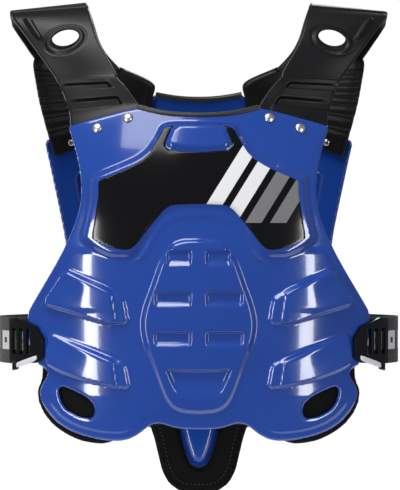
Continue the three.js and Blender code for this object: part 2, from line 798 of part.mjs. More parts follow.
// Elastic webbing: a strip on edge that leaves the buckle's outer end, goes round the side and
// lies on the back plate. Its route in plan is given as middles of the strip.
function webbingRoute(level) {
  const wall = WEBBING_WALL / 2;
  const seated = (plate, x, offset) => {
    const point = facePoint(plate, x, level).addScaledVector(faceNormal(plate, x, level), offset);
    return new THREE.Vector2(point.x, point.y);
  };
  const behindBuckle = buckleFoot - STRAP_GAP - wall;
  const onBack = (share) => seated(BACK, share * BACK_HALF_WIDTH, PLATE_WALL + SEAT_GAP + wall);
  const leaving = seated(CHEST, BUCKLE_OUTER + 3, behindBuckle);
  const side = new THREE.Vector2(TORSO_HALF_WIDTH, 0);
  const backEdge = onBack(0.95);
  const bulge = new THREE.Vector2(5, 0);
  const start = CHEST_HALF_WIDTH + SEAT_GAP;
  const underBuckle = [0, 0.33, 0.66, 1].map((share) => start + share * (BUCKLE_OUTER - start));
  return [
    ...underBuckle.map((x) => seated(CHEST, x, behindBuckle)),
    leaving,
    side.clone().lerp(leaving, 0.5).add(bulge),
    side,
    side.clone().lerp(backEdge, 0.5).add(bulge),
    backEdge,
    onBack(0.86),
    onBack(0.78),
    onBack(0.7),
  ];
}

// The strip's two faces at one level, each a list of points along its route
function webbingFaces(level) {
  const middles = new THREE.CatmullRomCurve3(
    webbingRoute(level).map((p) => new THREE.Vector3(p.x, p.y, level)),
    false,
    "centripetal",
  ).getPoints(WEBBING_STEPS);
  const face = (side) =>
    middles.map((p, i) => {
      const ahead = middles[Math.min(middles.length - 1, i + 1)];
      const behind = middles[Math.max(0, i - 1)];
      const along = ahead.clone().sub(behind).normalize();
      const across = new THREE.Vector3(-along.y, along.x, 0);
      return p.clone().addScaledVector(across, (side * WEBBING_WALL) / 2);
    });
  return [face(1), face(-1)];
}

function webbing() {
  const low = WEBBING_LEVEL - WEBBING_WIDTH / 2;
  const levels = [0, 1].map((share) => webbingFaces(low + share * WEBBING_WIDTH));
  const sections = levels[0][0].map((_, i) => [
    ...levels.map(([outer]) => outer[i]),
    ...levels.map(([, inner]) => inner[i]).reverse(),
  ]);
  const radius = RIVET_SHANK_RADIUS + RIVET_CLEARANCE;
  const drill = new THREE.CylinderGeometry(radius, radius, 4 * PLATE_WALL, 8);
  let strip = loft(sections).subtract(solid(placed(drill, webbingSeat)));
  for (const seat of pegSeats) {
    const hole = new THREE.CylinderGeometry(PEG_RADIUS + SEAT_GAP, PEG_RADIUS + SEAT_GAP, 6 * PLATE_WALL, 8);
    strip = strip.subtract(solid(placed(hole, seat)));
  }
  return geometryOf(strip);
}

addPair("side_webbing", webbing(), "webbing");
addPair("webbing_rivet", placed(rivet(0, SEAT_GAP + WEBBING_WALL), webbingSeat), "nickel");

export default root;
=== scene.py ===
# %% [markdown]
# A roost deflector is a pair of moulded plastic shells, worn over the chest and the back to stop
# the stones that another rider's wheel throws up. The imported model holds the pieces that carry
# load. This lesson dresses each of them: first the frame and the camera, then one piece at a time.
# Lengths in this file are metres, apart from the tables, which are shares of a plate's size.

# %% Frame
import math

import bmesh
import bpy
import numpy as np
from mathutils import Matrix, Vector


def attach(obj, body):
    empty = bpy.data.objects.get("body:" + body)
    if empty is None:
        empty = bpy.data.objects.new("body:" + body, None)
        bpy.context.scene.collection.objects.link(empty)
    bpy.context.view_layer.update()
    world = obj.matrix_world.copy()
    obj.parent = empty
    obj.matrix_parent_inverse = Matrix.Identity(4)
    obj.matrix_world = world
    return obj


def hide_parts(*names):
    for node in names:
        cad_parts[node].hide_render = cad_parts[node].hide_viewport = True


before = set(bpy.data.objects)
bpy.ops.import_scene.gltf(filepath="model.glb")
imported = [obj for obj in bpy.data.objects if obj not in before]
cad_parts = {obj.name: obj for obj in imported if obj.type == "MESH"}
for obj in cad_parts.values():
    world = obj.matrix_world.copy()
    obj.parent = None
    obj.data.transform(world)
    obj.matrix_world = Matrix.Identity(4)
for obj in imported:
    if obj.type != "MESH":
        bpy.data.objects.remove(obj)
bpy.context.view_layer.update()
MM = 0.001
print("nodes", len(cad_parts))

# %% [markdown]
# The photograph looks straight at the chest from a little over two metres away, level with the
# waist. A long lens keeps the near and the far side of the protector at nearly the same scale.

# %% Camera
CAMERA_PLACE = Vector((1.4 * MM, -2.291, -0.255))
CAMERA_LENS = 153.6

camera_data = bpy.data.cameras.new("camera")
camera_data.lens = CAMERA_LENS
camera_data.sensor_width = 36
camera = bpy.data.objects.new("camera", camera_data)
camera.location = CAMERA_PLACE
camera.rotation_euler = (math.pi / 2, 0, 0)
bpy.context.scene.collection.objects.link(camera)
bpy.context.scene.camera = camera
print("camera", tuple(round(v, 3) for v in CAMERA_PLACE))

# %% [markdown]
# Both shells follow one body, so both are described by the same few numbers: how far they stand
# out from the shoulders' middle, how much they fall back towards the top and the hem, and how far
# their sides sweep round. Everything that lies on a shell is placed by the same formula.

# %% Body form
WALL = 3 * MM
CHEST_HALF_WIDTH = 181 * MM
BACK_HALF_WIDTH = 172 * MM
SIDE_ROOM = 35 * MM  # from the chest plate's edge to the torso's side
TORSO_HALF_WIDTH = CHEST_HALF_WIDTH + SIDE_ROOM
CHEST = {
    "side": -1, "depth": 122 * MM, "sweep": 119 * MM, "full_down": 0.514,
    "top_set_back": 36.5 * MM, "hem_set_back": 15 * MM, "top": -110 * MM, "height": 350 * MM,
    "half_width": CHEST_HALF_WIDTH,
}
BACK = {
    "side": 1, "depth": 112 * MM, "sweep": 105 * MM, "full_down": 0.336,
    "top_set_back": 24 * MM, "hem_set_back": 25 * MM, "top": -84 * MM, "height": 434 * MM,
    "half_width": BACK_HALF_WIDTH,
}


def reach(plate, x, z):
    full = plate["top"] - plate["full_down"] * plate["height"]
    above = z > full
    span = np.where(above, plate["top"] - full, full - plate["top"] + plate["height"])
    set_back = np.where(above, plate["top_set_back"], plate["hem_set_back"])
    round_part = np.sqrt(np.clip(1 - (x / TORSO_HALF_WIDTH) ** 2, 0, 1))
    return plate["depth"] - set_back * ((z - full) / span) ** 2 - plate["sweep"] * (1 - round_part)


def on_plate(plate, x, z, offset):
    """Points at an offset outwards from a plate's inner face, as an array of rows."""
    x, z = np.asarray(x, float), np.asarray(z, float)
    step = 0.5 * MM
    slope_x = (reach(plate, x + step, z) - reach(plate, x - step, z)) / (2 * step)
    slope_z = (reach(plate, x, z + step) - reach(plate, x, z - step)) / (2 * step)
    length = np.sqrt(1 + slope_x**2 + slope_z**2)
    y = reach(plate, x, z) + offset / length
    return np.stack([x - offset * slope_x / length, plate["side"] * y, z - offset * slope_z / length], -1)


def outward(plate, x, z):
    a = on_plate(plate, x, z, 0)
    b = on_plate(plate, x, z, 1 * MM)
    return Vector((b - a) / MM).normalized()


print("fullest line of the chest", CHEST["top"] - CHEST["full_down"] * CHEST["height"])

# %% [markdown]
# A pressed form, such as a rib or a boss, is an outline with a slope round it. The distance from a
# point to the outline tells how far up the slope the point is, so one function for that distance
# gives every rib, dent, opening and edge of both shells.

# %% Outlines
TINY = 1e-12  # stands in for nothing where a length is divided by
CORNER_CUT = 0.2  # share of an edge that one rounding takes off at each end


def half_outline(plate, rows):
    return [(a * plate["half_width"], plate["top"] - d * plate["height"]) for a, d in rows]


def whole_outline(plate, rows):
    half = half_outline(plate, rows)
    other = [(-x, z) for x, z in half if x > 0]
    return half + other[::-1]


def one_side(plate, rows, sign):
    return [(sign * x, z) for x, z in half_outline(plate, rows)]


def distance_to(points, outline):
    """Signed distance to a closed outline, negative inside, and the nearest place on it."""
    corners = np.array(outline)
    best = np.full(len(points), np.inf)
    nearest = np.zeros_like(points)
    inside = np.zeros(len(points), bool)
    for a, b in zip(corners, np.roll(corners, -1, axis=0)):
        edge = b - a
        share = np.clip((points - a) @ edge / max(edge @ edge, TINY), 0, 1)
        foot = a + share[:, None] * edge
        gap = np.hypot(*(points - foot).T)
        closer = gap < best
        best = np.where(closer, gap, best)
        nearest[closer] = foot[closer]
        crosses = (a[1] > points[:, 1]) != (b[1] > points[:, 1])
        height = b[1] - a[1] or TINY
        inside ^= crosses & (points[:, 0] < a[0] + (points[:, 1] - a[1]) * edge[0] / height)
    return np.where(inside, -best, best), nearest


def rounded(outline, cuts=2):
    """Cuts an outline's corners a few times, which rounds them."""
    for _ in range(cuts):
        made = []
        for a, b in zip(outline, outline[1:] + outline[:1]):
            a, b = np.array(a), np.array(b)
            cut = CORNER_CUT * (b - a)
            made += [tuple(a + cut), tuple(b - cut)]
        outline = made
    return outline


def ramp(distance, slope, softness=0.5):
    """0 outside an outline and 1 past its slope, rounded at the foot and at the crest."""
    share = np.clip(-distance / slope, 0, 1)
    return (1 - softness) * share + softness * share * share * (3 - 2 * share)


print("half way up a ramp", ramp(-1, 2))

# %% [markdown]
# A curved skin with fine relief could be sculpted or drawn with curves. Here a flat grid is trimmed
# to the outline, each of its points is raised by the relief and laid over the form, and Solidify
# gives the skin its wall. The edge stays crisp, and one function serves every skin.

# %% Mesh helpers
def new_piece(name, mesh_or_bm):
    if isinstance(mesh_or_bm, bmesh.types.BMesh):
        mesh = bpy.data.meshes.new(name)
        mesh_or_bm.to_mesh(mesh)
        mesh_or_bm.free()
    else:
        mesh = mesh_or_bm
    for face in mesh.polygons:
        face.use_smooth = True
    piece = bpy.data.objects.new(name, mesh)
    bpy.context.scene.collection.objects.link(piece)
    return piece


def place_vertices(mesh, points):
    mesh.vertices.foreach_set("co", np.asarray(points, np.float32).ravel())
    mesh.update()


print("wall in metres", WALL)


# %% Moulded skin
def trimmed_grid(name, outline, holes, pitch):
    """A flat grid cut to an outline, its border moved onto the outline itself."""
    xs, zs = np.array(outline).T
    half_x, half_z = np.ptp(xs) / 2 + pitch, np.ptp(zs) / 2 + pitch
    middle = np.array([(xs.max() + xs.min()) / 2, (zs.max() + zs.min()) / 2])
    bm = bmesh.new()
    across, down = int(2 * half_x / pitch), int(2 * half_z / pitch)
    bmesh.ops.create_grid(bm, x_segments=across, y_segments=down, size=1)
    bmesh.ops.scale(bm, vec=(half_x, half_z, 1), verts=bm.verts)
    bmesh.ops.translate(bm, vec=(middle[0], middle[1], 0), verts=bm.verts)
    flat = np.array([v.co[:2] for v in bm.verts])
    distance, nearest = distance_to(flat, outline)
    for hole in holes:
        to_hole, hole_place = distance_to(flat, hole)
        in_hole = -to_hole > distance
        distance = np.where(in_hole, -to_hole, distance)
        nearest[in_hole] = hole_place[in_hole]
    out = distance > 0
    gone = [f for f in bm.faces if all(out[v.index] for v in f.verts)]
    moved = np.where(out[:, None], nearest, flat)
    for vertex, place in zip(bm.verts, moved):
        vertex.co.x, vertex.co.y = place
    bmesh.ops.delete(bm, geom=gone, context="FACES")
    mesh = bpy.data.meshes.new(name)
    bm.to_mesh(mesh)
    bm.free()
    flat = np.array([v.co[:2] for v in mesh.vertices])
    to_edge = distance_to(flat, outline)[0]
    for hole in holes:
        to_edge = np.maximum(to_edge, -distance_to(flat, hole)[0])
    return mesh, flat, to_edge


def shell(name, plate, outline, holes, relief, pitch, wall, foot):
    """A moulded skin: the trimmed grid, raised by its relief, laid over the plate's form."""
    mesh, flat, to_edge = trimmed_grid(name, outline, holes, pitch)
    offset = foot + wall + relief(flat, to_edge)
    place_vertices(mesh, on_plate(plate, flat[:, 0], flat[:, 1], offset))
    if plate["side"] > 0:
        mesh.flip_normals()
    piece = new_piece(name, mesh)
    skin = piece.modifiers.new("wall", "SOLIDIFY")
    skin.thickness = wall
    skin.offset = -1
    skin.use_even_offset = False
    print(name, len(mesh.polygons), "faces")
    return piece


def dress(piece, finish, node):
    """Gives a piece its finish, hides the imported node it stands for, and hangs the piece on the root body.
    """
    piece.data.materials.append(finish)
    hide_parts(node)
    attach(piece, "root")


# %% [markdown]
# The materials come before the shells, so each piece gets its finish where it is made. The shells
# are polished polypropylene: a deep blue with a clear, slightly uneven gloss that breaks the long
# reflections of the softboxes, and a little wear in its roughness.

# %% Material helpers
def material(name, color, roughness, metallic=0.0, coat=0.0, coat_roughness=0.05):
    made = bpy.data.materials.new(name)
    made.use_nodes = True
    shader = made.node_tree.nodes["Principled BSDF"]
    shader.inputs["Base Color"].default_value = (*color, 1)
    shader.inputs["Roughness"].default_value = roughness
    shader.inputs["Metallic"].default_value = metallic
    shader.inputs["Coat Weight"].default_value = coat
    shader.inputs["Coat Roughness"].default_value = coat_roughness
    return made, made.node_tree, shader


def add_node(tree, kind, **values):
    node = tree.nodes.new(kind)
    for key, value in values.items():
        if key in node.inputs:
            node.inputs[key].default_value = value
        else:
            setattr(node, key, value)
    return node


def object_coordinates(tree):
    return add_node(tree, "ShaderNodeTexCoord").outputs["Object"]


def noise(tree, scale, detail=3.0):
    node = add_node(tree, "ShaderNodeTexNoise", Scale=scale, Detail=detail)
    tree.links.new(object_coordinates(tree), node.inputs["Vector"])
    return node.outputs["Fac"]


def vary_roughness(tree, shader, scale, low, high):
    spread = add_node(tree, "ShaderNodeMapRange")
    spread.inputs["To Min"].default_value = low
    spread.inputs["To Max"].default_value = high
    tree.links.new(noise(tree, scale), spread.inputs["Value"])
    tree.links.new(spread.outputs["Result"], shader.inputs["Roughness"])


def mix_colors(tree, factor, low, high):
    """A blend of two colours, each a triple of numbers or another node's output."""
    node = add_node(tree, "ShaderNodeMix", data_type="RGBA")
    tree.links.new(factor, node.inputs["Factor"])
    for name, value in (("A", low), ("B", high)):
        if isinstance(value, tuple):
            node.inputs[name].default_value = (*value, 1)
        else:
            tree.links.new(value, node.inputs[name])
    return node.outputs["Result"]


def vary_color(tree, shader, scale, dark, light):
    mixed = mix_colors(tree, noise(tree, scale), dark, light)
    tree.links.new(mixed, shader.inputs["Base Color"])


def bump(tree, shader, height, strength, distance):
    node = add_node(tree, "ShaderNodeBump", Strength=strength, Distance=distance)
    tree.links.new(height, node.inputs["Height"])
    tree.links.new(node.outputs["Normal"], shader.inputs["Normal"])


print("materials so far", len(bpy.data.materials))

# %% [markdown]
# Each finish is a plain colour with a roughness that wanders a little and a faint bump, which is
# how moulded and cut materials differ from a flat computed surface.

# %% Plain finishes
blue, tree, shader = material("blue_polypropylene", (0.012, 0.06, 0.34), 0.12, coat=0.7, coat_roughness=0.04)
vary_color(tree, shader, 9, (0.01, 0.052, 0.31), (0.014, 0.066, 0.37))
vary_roughness(tree, shader, 60, 0.1, 0.17)
bump(tree, shader, noise(tree, 22, 1.0), 0.12, 0.0006)

charcoal, tree, shader = material("charcoal_moulding", (0.006, 0.006, 0.0065), 0.4)
vary_color(tree, shader, 30, (0.004, 0.004, 0.0045), (0.008, 0.008, 0.0085))
vary_roughness(tree, shader, 40, 0.3, 0.44)
shader.inputs["Specular IOR Level"].default_value = 0.3
bump(tree, shader, noise(tree, 1800, 2.0), 0.35, 0.0002)

foam, tree, shader = material("black_foam", (0.004, 0.004, 0.0045), 0.9)
vary_color(tree, shader, 60, (0.0025, 0.0025, 0.003), (0.006, 0.006, 0.0065))
shader.inputs["Specular IOR Level"].default_value = 0.15
bump(tree, shader, noise(tree, 900, 4.0), 0.6, 0.0004)

thread, tree, shader = material("grey_thread", (0.05, 0.05, 0.052), 0.7)
vary_color(tree, shader, 400, (0.035, 0.035, 0.036), (0.07, 0.07, 0.072))

edging_rubber, tree, shader = material("edging_rubber", (0.014, 0.0138, 0.0135), 0.42)
vary_roughness(tree, shader, 80, 0.34, 0.5)
bump(tree, shader, noise(tree, 700, 2.0), 0.2, 0.0002)

# painted highlight: this pale finish on the buckle lip stands in for the bright reflection along each
# buckle's lower edge
painted_highlight_nylon, tree, shader = material("painted_highlight_nylon", (0.72, 0.72, 0.74), 0.25)
vary_roughness(tree, shader, 200, 0.2, 0.32)

gloss_black, tree, shader = material("gloss_black_nylon", (0.003, 0.003, 0.0033), 0.16)
shader.inputs["Specular IOR Level"].default_value = 0.4
vary_roughness(tree, shader, 90, 0.12, 0.22)
bump(tree, shader, noise(tree, 60, 1.0), 0.08, 0.0004)

nickel, tree, shader = material("nickel_plate", (0.8, 0.79, 0.78), 0.28, metallic=1.0)
vary_roughness(tree, shader, 500, 0.24, 0.34)
bump(tree, shader, noise(tree, 900, 2.0), 0.05, 0.0001)
print("finishes", [m.name for m in bpy.data.materials])

# %% [markdown]
# The chest shell is one pressing. Its raised forms are a winged platform for the decal, a small
# trapezoid above it, an oval belly panel with six dents and one wide one, and two broad fins on
# each side. A grid a millimetre and a half apart holds the slopes, and Solidify gives the wall.

# %% Chest tables
CHEST_NECK = [(0, 0.027), (0.174, 0.022), (0.291, 0.009), (0.347, 0)]
CHEST_SIDE = [
    (0.75, 0.053), (0.758, 0.062), (0.724, 0.115), (0.695, 0.17), (0.68, 0.219), (0.678, 0.261),
    (0.683, 0.297), (0.703, 0.336), (0.736, 0.381), (0.792, 0.441), (0.855, 0.498), (0.931, 0.562),
    (1, 0.621), (1, 0.688), (0.936, 0.775), (0.893, 0.786), (0.872, 0.804), (0.915, 0.841),
    (0.927, 0.86), (0.919, 0.884), (0.883, 0.917), (0.829, 0.948), (0.757, 0.971), (0.686, 0.985),
    (0.603, 0.995), (0.521, 1), (0.451, 1), (0.399, 0.994), (0.346, 0.979), (0.276, 0.949),
    (0.219, 0.944), (0.127, 0.96), (0, 0.963),
]
PLATFORM = [
    (0, 0.045), (0.17, 0.045), (0.225, 0.055), (0.25, 0.085), (0.3, 0.125), (0.36, 0.15),
    (0.47, 0.174), (0.62, 0.205), (0.632, 0.22), (0.634, 0.279), (0.65, 0.33), (0.68, 0.396),
    (0.66, 0.412), (0.6, 0.436), (0.5, 0.458), (0.38, 0.458), (0.345, 0.445), (0.3, 0.405),
    (0.245, 0.36), (0.19, 0.325), (0.13, 0.312), (0, 0.31),
]
SECOND_STEP = [(0, 0.29), (0.13, 0.29), (0.2, 0.31), (0.26, 0.36), (0.33, 0.43), (0.4, 0.47),
               (0.3, 0.47), (0.2, 0.37), (0.1, 0.345), (0, 0.345)]
BOSS = [(0, 0.058), (0.142, 0.058), (0.205, 0.138), (0, 0.146)]
OVAL = [
    (0, 0.395), (0.086, 0.396), (0.143, 0.405), (0.183, 0.426), (0.218, 0.459), (0.24, 0.488),
    (0.269, 0.533), (0.301, 0.577), (0.321, 0.613), (0.33, 0.643), (0.327, 0.672), (0.315, 0.702),
    (0.301, 0.726), (0.264, 0.774), (0.224, 0.833), (0.19, 0.875), (0.155, 0.898), (0.103, 0.912),
    (0, 0.917),
]
DENTS = [
    {"near": 0.042, "far": 0.18, "top": 0.432, "foot": 0.479},
    {"near": 0.042, "far": 0.249, "top": 0.553, "foot": 0.599},
    {"near": 0.042, "far": 0.252, "top": 0.67, "foot": 0.716},
]
MOUTH_DENT = [(0, 0.781), (0.192, 0.779), (0.121, 0.869), (0, 0.872)]
UPPER_FIN = [(0.385, 0.65), (0.405, 0.581), (0.428, 0.563), (0.53, 0.533), (0.646, 0.507),
             (0.765, 0.479), (0.9, 0.592), (0.79, 0.609), (0.679, 0.627), (0.529, 0.652)]
LOWER_FIN = [(0.38, 0.845), (0.402, 0.775), (0.423, 0.761), (0.518, 0.741), (0.62, 0.719),
             (0.747, 0.693), (0.87, 0.668), (0.885, 0.772), (0.808, 0.794), (0.663, 0.819),
             (0.531, 0.835)]
VENT = [(0.791, 0.836), (0.648, 0.867), (0.602, 0.891), (0.596, 0.918), (0.62, 0.935),
        (0.685, 0.93), (0.762, 0.911), (0.798, 0.884), (0.812, 0.851)]
print("dents in the belly panel", 2 * len(DENTS) + 1)

# %% [markdown]
# The relief is a height above the plain skin. Each raised form adds its own, and each dent takes
# some away. A fin has a lower facet at its inner end, where the photograph shows a second step.

# %% Chest relief
# outline, width of the slope, rise
CHEST_RAISED = [
    (PLATFORM, 8 * MM, 6 * MM), (BOSS, 5.5 * MM, 4 * MM), (SECOND_STEP, 7 * MM, 1.6 * MM),
    (OVAL, 5 * MM, 4 * MM),
]
FIN_RISE = 7 * MM
FIN_SLOPE = 5.2 * MM
FIN_STEP = 3 * MM  # width of the steeper slope below a fin
# width of the wall, share of the height that is ramp, depth
DENT = (1.6 * MM, 0.38, 3.8 * MM)
MOUTH = (3.5 * MM, 0.6, 4.6 * MM)
RIM = 2.2 * MM  # width of the edge's rounding
RIM_FALL = 1.1 * MM
FIN_FACET = 12 * MM  # a fin's inner end is a lower facet, this long
FIN_LEDGE = 0.4  # share of the rise that the facet lacks
FIN_LEDGE_SLOPE = 3.6 * MM
FIN_TOP_FADE = (110 * MM, 160 * MM)  # between these a fin's top sinks towards the shell
FIN_FOOT = (4 * MM, 38 * MM)  # heights above its lower edge between which the sinking sets in
FIN_SINK = 0.6
# how far inside the border a crease lies, the width of its slope and its rise
ARMHOLE_CREASE = (9 * MM, 2.2 * MM, 1.5 * MM)
LOBE_CREASE = (8 * MM, 2 * MM, 0.8 * MM)
ARMHOLE_LEVEL = -292 * MM
ARMHOLE_HALF_HEIGHT = 36 * MM
ARMHOLE_FADE = 10 * MM
CREASE_FROM = (62 * MM, 118 * MM)  # a crease grows from nothing to its full rise between these
LOBE_LEVEL = -400 * MM
LOBE_FADE = 12 * MM


def rim_fall(to_edge):
    return RIM_FALL * np.clip(1 + to_edge / RIM, 0, 1) ** 2


def between(value, limits):
    """0 below the lower limit, 1 past the upper one, and smooth at both."""
    low, high = limits
    return ramp(low - value, high - low, 1)


def dent(flat, corners, slope, ramp_share, depth):
    """A pocket with a steep wall above and a ramp that rises to its lower edge."""
    top = max(z for _, z in corners)
    foot = min(z for _, z in corners)
    up_ramp = np.clip((flat[:, 1] - foot) / (ramp_share * (top - foot)), 0, 1)
    return depth * up_ramp * ramp(distance_to(flat, corners)[0], slope, 0.3)


def fin(flat, outline):
    """A broad rib: a facet at its inner end, a steep step below, and a top that fades outwards."""
    shape = rounded(outline, 1)
    distance, nearest = distance_to(flat, shape)
    depth = np.maximum(-distance, TINY)
    below = (flat[:, 1] - nearest[:, 1]) / depth
    outwards = (np.abs(nearest[:, 0]) - np.abs(flat[:, 0])) / depth
    slope = FIN_SLOPE + (FIN_STEP - FIN_SLOPE) * np.clip(np.maximum(below, outwards), 0, 1)
    outer = between(np.abs(flat[:, 0]), FIN_TOP_FADE)
    high_up = between(above_foot(flat, outline), FIN_FOOT)
    foot, head = np.array(outline[0]), np.array(outline[1])
    square = np.array([head[1] - foot[1], foot[0] - head[0]]) / np.linalg.norm(head - foot)
    past_end = np.abs((flat - foot) @ square)
    ledge = 1 - FIN_LEDGE * (1 - ramp(FIN_FACET - past_end, FIN_LEDGE_SLOPE, 0.3))
    return FIN_RISE * ramp(distance, slope, 0.4) * ledge * (1 - FIN_SINK * outer * high_up)


def above_foot(flat, outline):
    """Height above the lower edge of a fin, whose outline starts at its inner foot."""
    foot = sorted([outline[0]] + outline[-4:], key=lambda p: abs(p[0]))
    xs = np.array([abs(x) for x, _ in foot])
    zs = np.array([z for _, z in foot])
    return flat[:, 1] - np.interp(np.abs(flat[:, 0]), xs, zs)


def crease(to_border, sizes):
    inset, slope, rise = sizes
    return rise * ramp(to_border + inset, slope)


def chest_relief(flat, to_edge):
    height = np.zeros(len(flat))
    for rows, slope, rise in CHEST_RAISED:
        outline = rounded(whole_outline(CHEST, rows), 1)
        height += rise * ramp(distance_to(flat, outline)[0], slope, 0.45)
    for sign in (-1, 1):
        height += fin(flat, one_side(CHEST, UPPER_FIN, sign))
        height += fin(flat, one_side(CHEST, LOWER_FIN, sign))
        for row in DENTS:
            rows = [(row["near"], row["top"]), (row["near"], row["foot"]),
                    (row["far"], row["foot"]), (row["far"], row["top"])]
            height -= dent(flat, one_side(CHEST, rows, sign), *DENT)
    height -= dent(flat, whole_outline(CHEST, MOUTH_DENT), *MOUTH)
    # the edge is a flange: a step runs along the armhole and the lobes, inside the outline
    low, high = CREASE_FROM
    armhole = ramp(np.abs(flat[:, 1] - ARMHOLE_LEVEL) - ARMHOLE_HALF_HEIGHT, ARMHOLE_FADE)
    armhole *= np.clip((np.abs(flat[:, 0]) - low) / (high - low), 0, 1)
    lobe = ramp(flat[:, 1] - LOBE_LEVEL, LOBE_FADE)
    to_border = distance_to(flat, chest_outline)[0]
    height += armhole * crease(to_border, ARMHOLE_CREASE) + lobe * crease(to_border, LOBE_CREASE)
    return height - rim_fall(to_edge)


print("rise of a fin", FIN_RISE)

# %% Chest shell
SHELL_PITCH = 1.45 * MM
chest_outline = rounded(whole_outline(CHEST, CHEST_NECK + CHEST_SIDE), 1)
vents = [rounded(one_side(CHEST, VENT, sign), 2) for sign in (-1, 1)]
chest_shell = shell("chest_shell", CHEST, chest_outline, vents, chest_relief, SHELL_PITCH, WALL, 0)
dress(chest_shell, blue, "chest_plate")

# %% [markdown]
# The decal is a printed film with a gloss of its own. Its print here is a plain set of slanting
# bars in white and grey, made from the piece's own coordinates, so no picture is needed.

# %% Decal
DECAL = [
    (0, 0.066), (0.155, 0.066), (0.2, 0.075), (0.225, 0.1), (0.29, 0.158), (0.4, 0.193),
    (0.555, 0.226), (0.566, 0.235), (0.563, 0.268), (0.578, 0.325), (0.602, 0.395), (0.585, 0.403),
    (0.51, 0.421), (0.44, 0.43), (0.385, 0.43), (0.35, 0.415), (0.3, 0.378), (0.25, 0.345),
    (0.195, 0.312), (0.15, 0.299), (0, 0.296),
]
BAR_SLANT = 0.62
BAR_PITCH = 26 * MM
BAR_SHARE = 0.66
BAR_COUNT = 4
WHITE_BARS = 2
BLACK_INK = (0.002, 0.002, 0.0022)
WHITE_INK = (0.82, 0.82, 0.84)
GREY_INK = (0.2, 0.2, 0.21)
PRINT_LEFT = -4 * MM
PRINT_TOP = -150 * MM
PRINT_FOOT = -232 * MM


def math_node(tree, operation, a, b=None):
    node = add_node(tree, "ShaderNodeMath", operation=operation)
    for socket, value in zip(node.inputs, (a, b)):
        if value is None:
            continue
        if isinstance(value, (int, float)):
            socket.default_value = value
        else:
            tree.links.new(value, socket)
    return node.outputs[0]


def decal_material():
    made, tree, shader = material("printed_film", BLACK_INK, 0.12)
    shader.inputs["Specular IOR Level"].default_value = 0.4
    split = add_node(tree, "ShaderNodeSeparateXYZ")
    tree.links.new(object_coordinates(tree), split.inputs[0])
    x, z = split.outputs["X"], split.outputs["Z"]
    leaned = math_node(tree, "SUBTRACT", x, math_node(tree, "MULTIPLY", z, BAR_SLANT))
    start = PRINT_LEFT - PRINT_FOOT * BAR_SLANT
    count = math_node(tree, "DIVIDE", math_node(tree, "SUBTRACT", leaned, start), BAR_PITCH)
    in_bar = math_node(tree, "LESS_THAN", math_node(tree, "FRACT", count), BAR_SHARE)
    after = math_node(tree, "GREATER_THAN", count, 0)
    before = math_node(tree, "LESS_THAN", count, BAR_COUNT)
    under = math_node(tree, "LESS_THAN", z, PRINT_TOP)
    over = math_node(tree, "GREATER_THAN", z, PRINT_FOOT)
    mask = in_bar
    for part in (after, before, under, over):
        mask = math_node(tree, "MULTIPLY", mask, part)
    later = math_node(tree, "GREATER_THAN", count, WHITE_BARS)
    ink = mix_colors(tree, later, WHITE_INK, GREY_INK)
    tree.links.new(mix_colors(tree, mask, BLACK_INK, ink), shader.inputs["Base Color"])
    bump(tree, shader, noise(tree, 25, 1.0), 0.1, 0.0005)
    return made


printed_film = decal_material()
print("bars", BAR_COUNT, "pitch", BAR_PITCH)

# %% Decal film
FILM_RISE = 0.4 * MM
FILM_EDGE_FALL = 0.15 * MM
FILM_PITCH = 2 * MM
FILM_WALL = 0.3 * MM


def decal_relief(flat, to_edge):
    inside_plate = np.full(len(flat), -1.0)
    edge_fall = FILM_EDGE_FALL * np.clip(1 + to_edge / MM, 0, 1)
    return chest_relief(flat, inside_plate) + FILM_RISE - edge_fall


decal_outline = rounded(whole_outline(CHEST, DECAL), 1)
decal_hole = rounded(whole_outline(CHEST, BOSS), 1)
decal = shell("decal_film", CHEST, decal_outline, [decal_hole], decal_relief, FILM_PITCH, FILM_WALL, WALL)
dress(decal, printed_film, "chest_decal")

# %% [markdown]
# The back shell is the same kind of pressing, plainer: a spine panel, a blade panel on each side
# and a channel at its foot, pressed inwards, that shows below the chest plate's hem.

# %% Back shell
BACK_NECK = [(0, 0.013), (0.174, 0.009), (0.283, 0)]
BACK_SIDE = [
    (0.335, 0.018), (0.985, 0.12), (1, 0.135), (0.99, 0.15), (0.955, 0.22), (0.917, 0.295),
    (0.885, 0.36), (0.87, 0.406), (0.866, 0.45), (0.872, 0.498), (0.907, 0.59), (0.918, 0.63),
    (0.918, 0.671), (0.884, 0.74), (0.785, 0.802), (0.581, 0.855), (0.36, 0.868), (0.28, 0.878),
    (0.25, 0.9), (0.235, 0.94), (0.19, 0.98), (0.1, 1), (0, 1),
]
SPINE = [(0, 0.11), (0.18, 0.125), (0.25, 0.25), (0.22, 0.45), (0.3, 0.6), (0.28, 0.74),
         (0.16, 0.8), (0, 0.81)]
BLADE = [(0.34, 0.15), (0.84, 0.19), (0.79, 0.29), (0.74, 0.39), (0.5, 0.43), (0.33, 0.4)]
LUMBAR = [(0.36, 0.56), (0.78, 0.6), (0.8, 0.67), (0.74, 0.73), (0.38, 0.78)]
CHANNEL = [(0, 0.8), (0.14, 0.8), (0.11, 0.89), (0.055, 0.96), (0, 0.972)]
PANEL_SLOPE = 8 * MM
SPINE_RISE = 4 * MM
BLADE_RISE = 4 * MM
LUMBAR_RISE = 3.4 * MM
CHANNEL_SLOPE = 6 * MM
CHANNEL_DEPTH = 9.5 * MM
BACK_PITCH = 1.7 * MM


def back_relief(flat, to_edge):
    def raised(outline, slope, rise):
        return rise * ramp(distance_to(flat, rounded(outline, 2))[0], slope)

    height = raised(whole_outline(BACK, SPINE), PANEL_SLOPE, SPINE_RISE)
    for sign in (-1, 1):
        height += raised(one_side(BACK, BLADE, sign), PANEL_SLOPE, BLADE_RISE)
        height += raised(one_side(BACK, LUMBAR, sign), PANEL_SLOPE, LUMBAR_RISE)
    height -= raised(whole_outline(BACK, CHANNEL), CHANNEL_SLOPE, CHANNEL_DEPTH)
    return height - rim_fall(to_edge)


